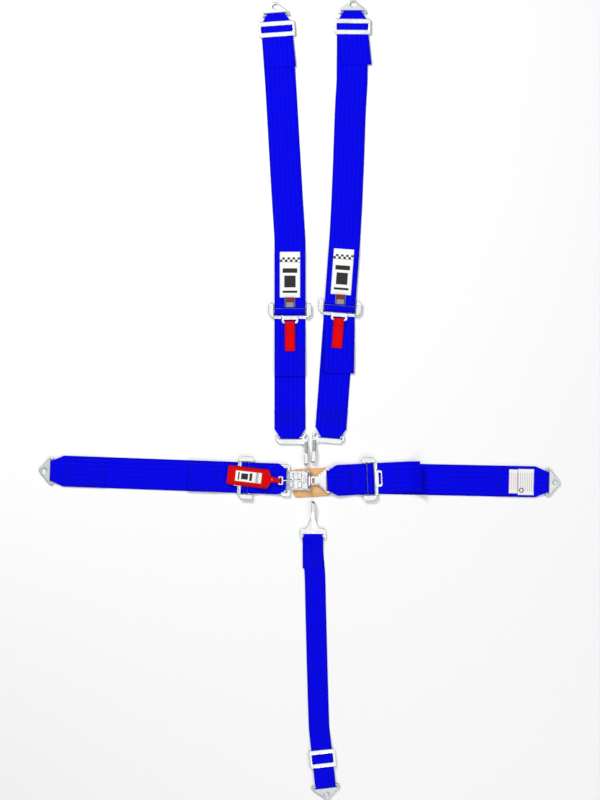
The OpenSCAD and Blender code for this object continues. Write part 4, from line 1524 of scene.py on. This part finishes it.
@dataclass
class Studio:
    """A pale table, soft light from above, and a camera that looks straight down.

    Attributes:
        height: The camera's height.
        tall: How much of the table the frame shows from top to bottom.
        centre: The point of the table under the camera.
        side_rise: The sine of the elevation where the dark sides start to turn white.
        top_rise: The same where they are all white.
        glow: The sky's strength.
        patch: What is added to it straight above.
        patch_rim: The sine of the elevation where that patch starts.
        lamps: The lights.
    """

    height: float = 6.0
    tall: float = 1.968
    centre: Point = (-0.027, 0.197)
    side_rise: float = 0.45
    top_rise: float = 0.93
    glow: float = 0.84
    patch: float = 0.2
    patch_rim: float = 0.88
    lamps: tuple[Lamp, ...] = (
        Lamp("key", (-1.2, 2.0, 2.6), 0.9, 62),
        Lamp("fill", (1.8, -0.6, 2.6), 2.2, 16),
        Lamp("strip", (0.3, -1.9, 1.8), 0.9, 8),
    )

    def floor(self) -> None:
        """Makes the table top."""
        # Matt white laminate.
        s = Shader("matt_white_table")
        s.set(Base_Color=linear("FBFBFB"), Roughness=0.9)
        mesh = bmesh.new()
        bmesh.ops.create_grid(mesh, x_segments=1, y_segments=1, size=6)
        data = bpy.data.meshes.new("table_top")
        mesh.to_mesh(data)
        mesh.free()
        data.transform(Matrix.Translation((0, 0, -0.2 * MM)))
        data.materials.append(s.material)
        table = bpy.data.objects.new("table_top", data)
        bpy.context.scene.collection.objects.link(table)
        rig.stage(table)

    def light(self, lamp: Lamp) -> None:
        """Adds a light that points at the middle of the harness.

        Args:
            lamp: The light's facts.
        """
        data = bpy.data.lights.new(lamp.name, "AREA")
        data.size = lamp.size
        data.energy = lamp.power
        light = bpy.data.objects.new(lamp.name, data)
        light.location = lamp.place
        aim = Vector((self.centre[0], self.centre[1], 0)) - light.location
        light.rotation_euler = aim.to_track_quat("-Z", "Y").to_euler()
        bpy.context.scene.collection.objects.link(light)

    def camera(self) -> None:
        """Adds the camera above the middle of the harness."""
        data = bpy.data.cameras.new("camera")
        data.sensor_fit = "VERTICAL"
        data.sensor_height = 24
        data.lens = 24 * self.height / self.tall
        data.clip_end = 50
        camera = bpy.data.objects.new("camera", data)
        camera.location = (self.centre[0], self.centre[1], self.height)
        bpy.context.scene.collection.objects.link(camera)
        bpy.context.scene.camera = camera

    @staticmethod
    def ramp(tree: bpy.types.NodeTree, value: bpy.types.NodeSocket, source: Point,
             target: Point) -> bpy.types.NodeSocket:
        """Adds a smooth ramp to a node tree.

        Args:
            tree: The node tree.
            value: What the ramp follows.
            source: The values where it starts and ends.
            target: What it gives there.

        Returns:
            The ramp's output.
        """
        node = tree.nodes.new("ShaderNodeMapRange")
        node.interpolation_type = "SMOOTHSTEP"
        for name, number in zip(("From Min", "From Max", "To Min", "To Max"), (*source, *target)):
            node.inputs[name].default_value = number
        tree.links.new(value, node.inputs["Value"])
        return node.outputs[0]

    def sky(self) -> None:
        """Makes a white sky with dark sides, which give the steel its dark edges."""
        world = bpy.data.worlds.new("studio")
        world.use_nodes = True
        tree = world.node_tree
        glow = tree.nodes["Background"]
        way = tree.nodes.new("ShaderNodeTexCoord")
        split = tree.nodes.new("ShaderNodeSeparateXYZ")
        tree.links.new(way.outputs["Generated"], split.inputs[0])
        blend = tree.nodes.new("ShaderNodeMix")
        blend.data_type = "RGBA"
        blend.inputs[6].default_value = linear("20242A")
        blend.inputs[7].default_value = linear("FFFFFF")
        up = split.outputs[2]
        rise = self.ramp(tree, up, (self.side_rise, self.top_rise), (0, 1))
        strength = self.ramp(tree, up, (self.patch_rim, 1), (self.glow, self.glow + self.patch))
        tree.links.new(rise, blend.inputs[0])
        tree.links.new(blend.outputs[2], glow.inputs[0])
        tree.links.new(strength, glow.inputs[1])
        bpy.context.scene.world = world

    def build(self) -> None:
        """Sets the whole stage."""
        bpy.context.scene.view_settings.view_transform = "Standard"
        self.sky()
        self.floor()
        for lamp in self.lamps:
            self.light(lamp)
        self.camera()


# ------------------------------------------------------------------ layout on the CAD's joints


def unit(axis: Sequence[float], sign: float = 1.0) -> tuple[float, float]:
    """The plan direction of a joint's axis, turned round where sign is -1."""
    return (axis[0] * sign, axis[1] * sign)


def shoulder(name: str, middle: Sequence[Point], low_length: float, tail_turn: float, top_end: float,
             top_turn: float) -> ShoulderBelt:
    """Lays out a shoulder belt on the CAD's joints.

    Args:
        name: The belt's name in the CAD.
        middle: Places that the upper belt passes over, in millimetres.
        low_length: From the adjuster's crossbar to the fitting's bar.
        tail_turn: How far the free end is turned, in degrees.
        top_end: Where the upper belt's free end stops on the bracket's line.
        top_turn: How far that end leans aside for each metre along it.

    Returns:
        The belt.
    """
    down = unit(JOINTS[f"{name}_adjust"]["axis"])
    line = Line.along(JOINTS[f"{name}_tab_lift"]["pos_m"], down, TAB_SLOT_S)
    up = unit(JOINTS[f"{name}_slide_travel"]["axis"], -1)
    top = Line.along(JOINTS[f"{name}_bracket_swing"]["pos_m"], up, BRACKET_BAR_S)
    return ShoulderBelt(name, line, top, low_length, middle, 146 * MM, tail_turn, top_end, top_turn)


def lap(name: str, body: str, length: float, tail: float, curl: float) -> LapBelt:
    """Lays out a lap belt on the CAD's joints.

    Args:
        name: The belt's name in the CAD.
        body: The body that its adjuster belongs to.
        length: From the adjuster's crossbar to the end of the bracket's line.
        tail: The free end's length past the crossbar.
        curl: How high the free end's tip stands, or 0 where it lies flat.

    Returns:
        The belt.
    """
    pivot = JOINTS[f"{name}_bracket_swing"]["pos_m"]
    axis = unit(JOINTS[f"{name}_adjust"]["axis"], -1)
    line = Line.along(pivot, axis, length + BRACKET_BAR_S)
    threaded = Line.along(line.origin, unit(JOINTS[f"{name}_tail_slide"]["axis"]))
    return LapBelt(name, line, Adjuster(name, threaded, body, tail, curl=curl), body, length)


def spec_labels(line: Line) -> None:
    """Adds the two small labels on the right lap belt's sewn end.

    Args:
        line: The right lap belt's line.
    """
    z = RUN_Z + OVER + LAYER / 2 + LABEL_UP
    kinds = (
        ("plain_label", 327.5 * MM, (21 * MM, 59 * MM), Pattern.BARS, 0.0),
        ("ring_label", 349.5 * MM, (39 * MM, 64 * MM), Pattern.RING, -1 * MM),
    )
    for name, start, size, pattern, y in kinds:
        finish = LabelFinish(f"woven_{name}", pattern, size).make()
        label = flat_label(f"lap_right_{name}", line, start, size, z, finish, y=y)
        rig.sheet(label.object, (size[1], size[0]), "laid", ["lap_right_belt_cloth"])
        label.ride("lap_right_belt", "spec_label")


def crotch() -> CrotchBelt:
    """Lays out the crotch belt on the CAD's joints.

    Returns:
        The belt.
    """
    start = Line.along(JOINTS["crotch_strap_swing"]["pos_m"], (0, 1))
    down = unit(JOINTS["crotch_slide_travel"]["axis"])
    end = Line.along(JOINTS["crotch_bracket_swing"]["pos_m"], down, BRACKET_BAR_S)
    middle = [(9.8, -233.7), (12.3, -344.4), (14.8, -442.8), (17.2, -528.9)]
    return CrotchBelt(start, end, middle)


def write_sizes() -> None:
    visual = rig.bounds()
    boxes = {"cad": [list(p) for p in CAD_BOX], "visual": [list(p) for p in visual]}
    with open("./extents.json", "w", encoding="utf-8") as out:
        json.dump(boxes, out, indent=1)
    for name, corners in boxes.items():
        LOG.info("%s box: %s", name, corners)


def main() -> None:
    """Builds the harness, sub-assembly by sub-assembly."""
    logging.basicConfig(level=logging.INFO, format="%(name)s: %(message)s")
    clothes = Wardrobe()
    clothes.dress_cad()
    left = lap("lap_left", "buckle", 481 * MM, 127 * MM, 0.0)
    right = lap("lap_right", "link_side", 441 * MM, 112 * MM, 26 * MM)
    left.build(clothes)
    right.build(clothes)
    spec_labels(right.line)
    Pad().build(clothes)
    ShortStrap("latch_strap", left.adjuster.line, "buckle", "latch_body",
               110.9 * MM, 7.3 * MM, 51 * MM, 18 * MM).build(clothes)
    ShortStrap("link_strap", right.adjuster.line, "link_side", "link",
               115.4 * MM, 10.7 * MM, 48 * MM, 24 * MM).build(clothes)
    PullHandle().build(clothes)
    left_middle = [(-58, 690), (-64.5, 800), (-72, 930)]
    right_middle = [(87.5, 669), (92.5, 787), (96.5, 905)]
    shoulder("shoulder_left", left_middle, 295 * MM, 0.0, -150 * MM, 0.03).build(clothes)
    shoulder("shoulder_right", right_middle, 301 * MM, 3.5, -148 * MM, 0.11).build(clothes)
    crotch().build(clothes)
    Studio().build()
    write_sizes()


if __name__ == "__main__":
    main()
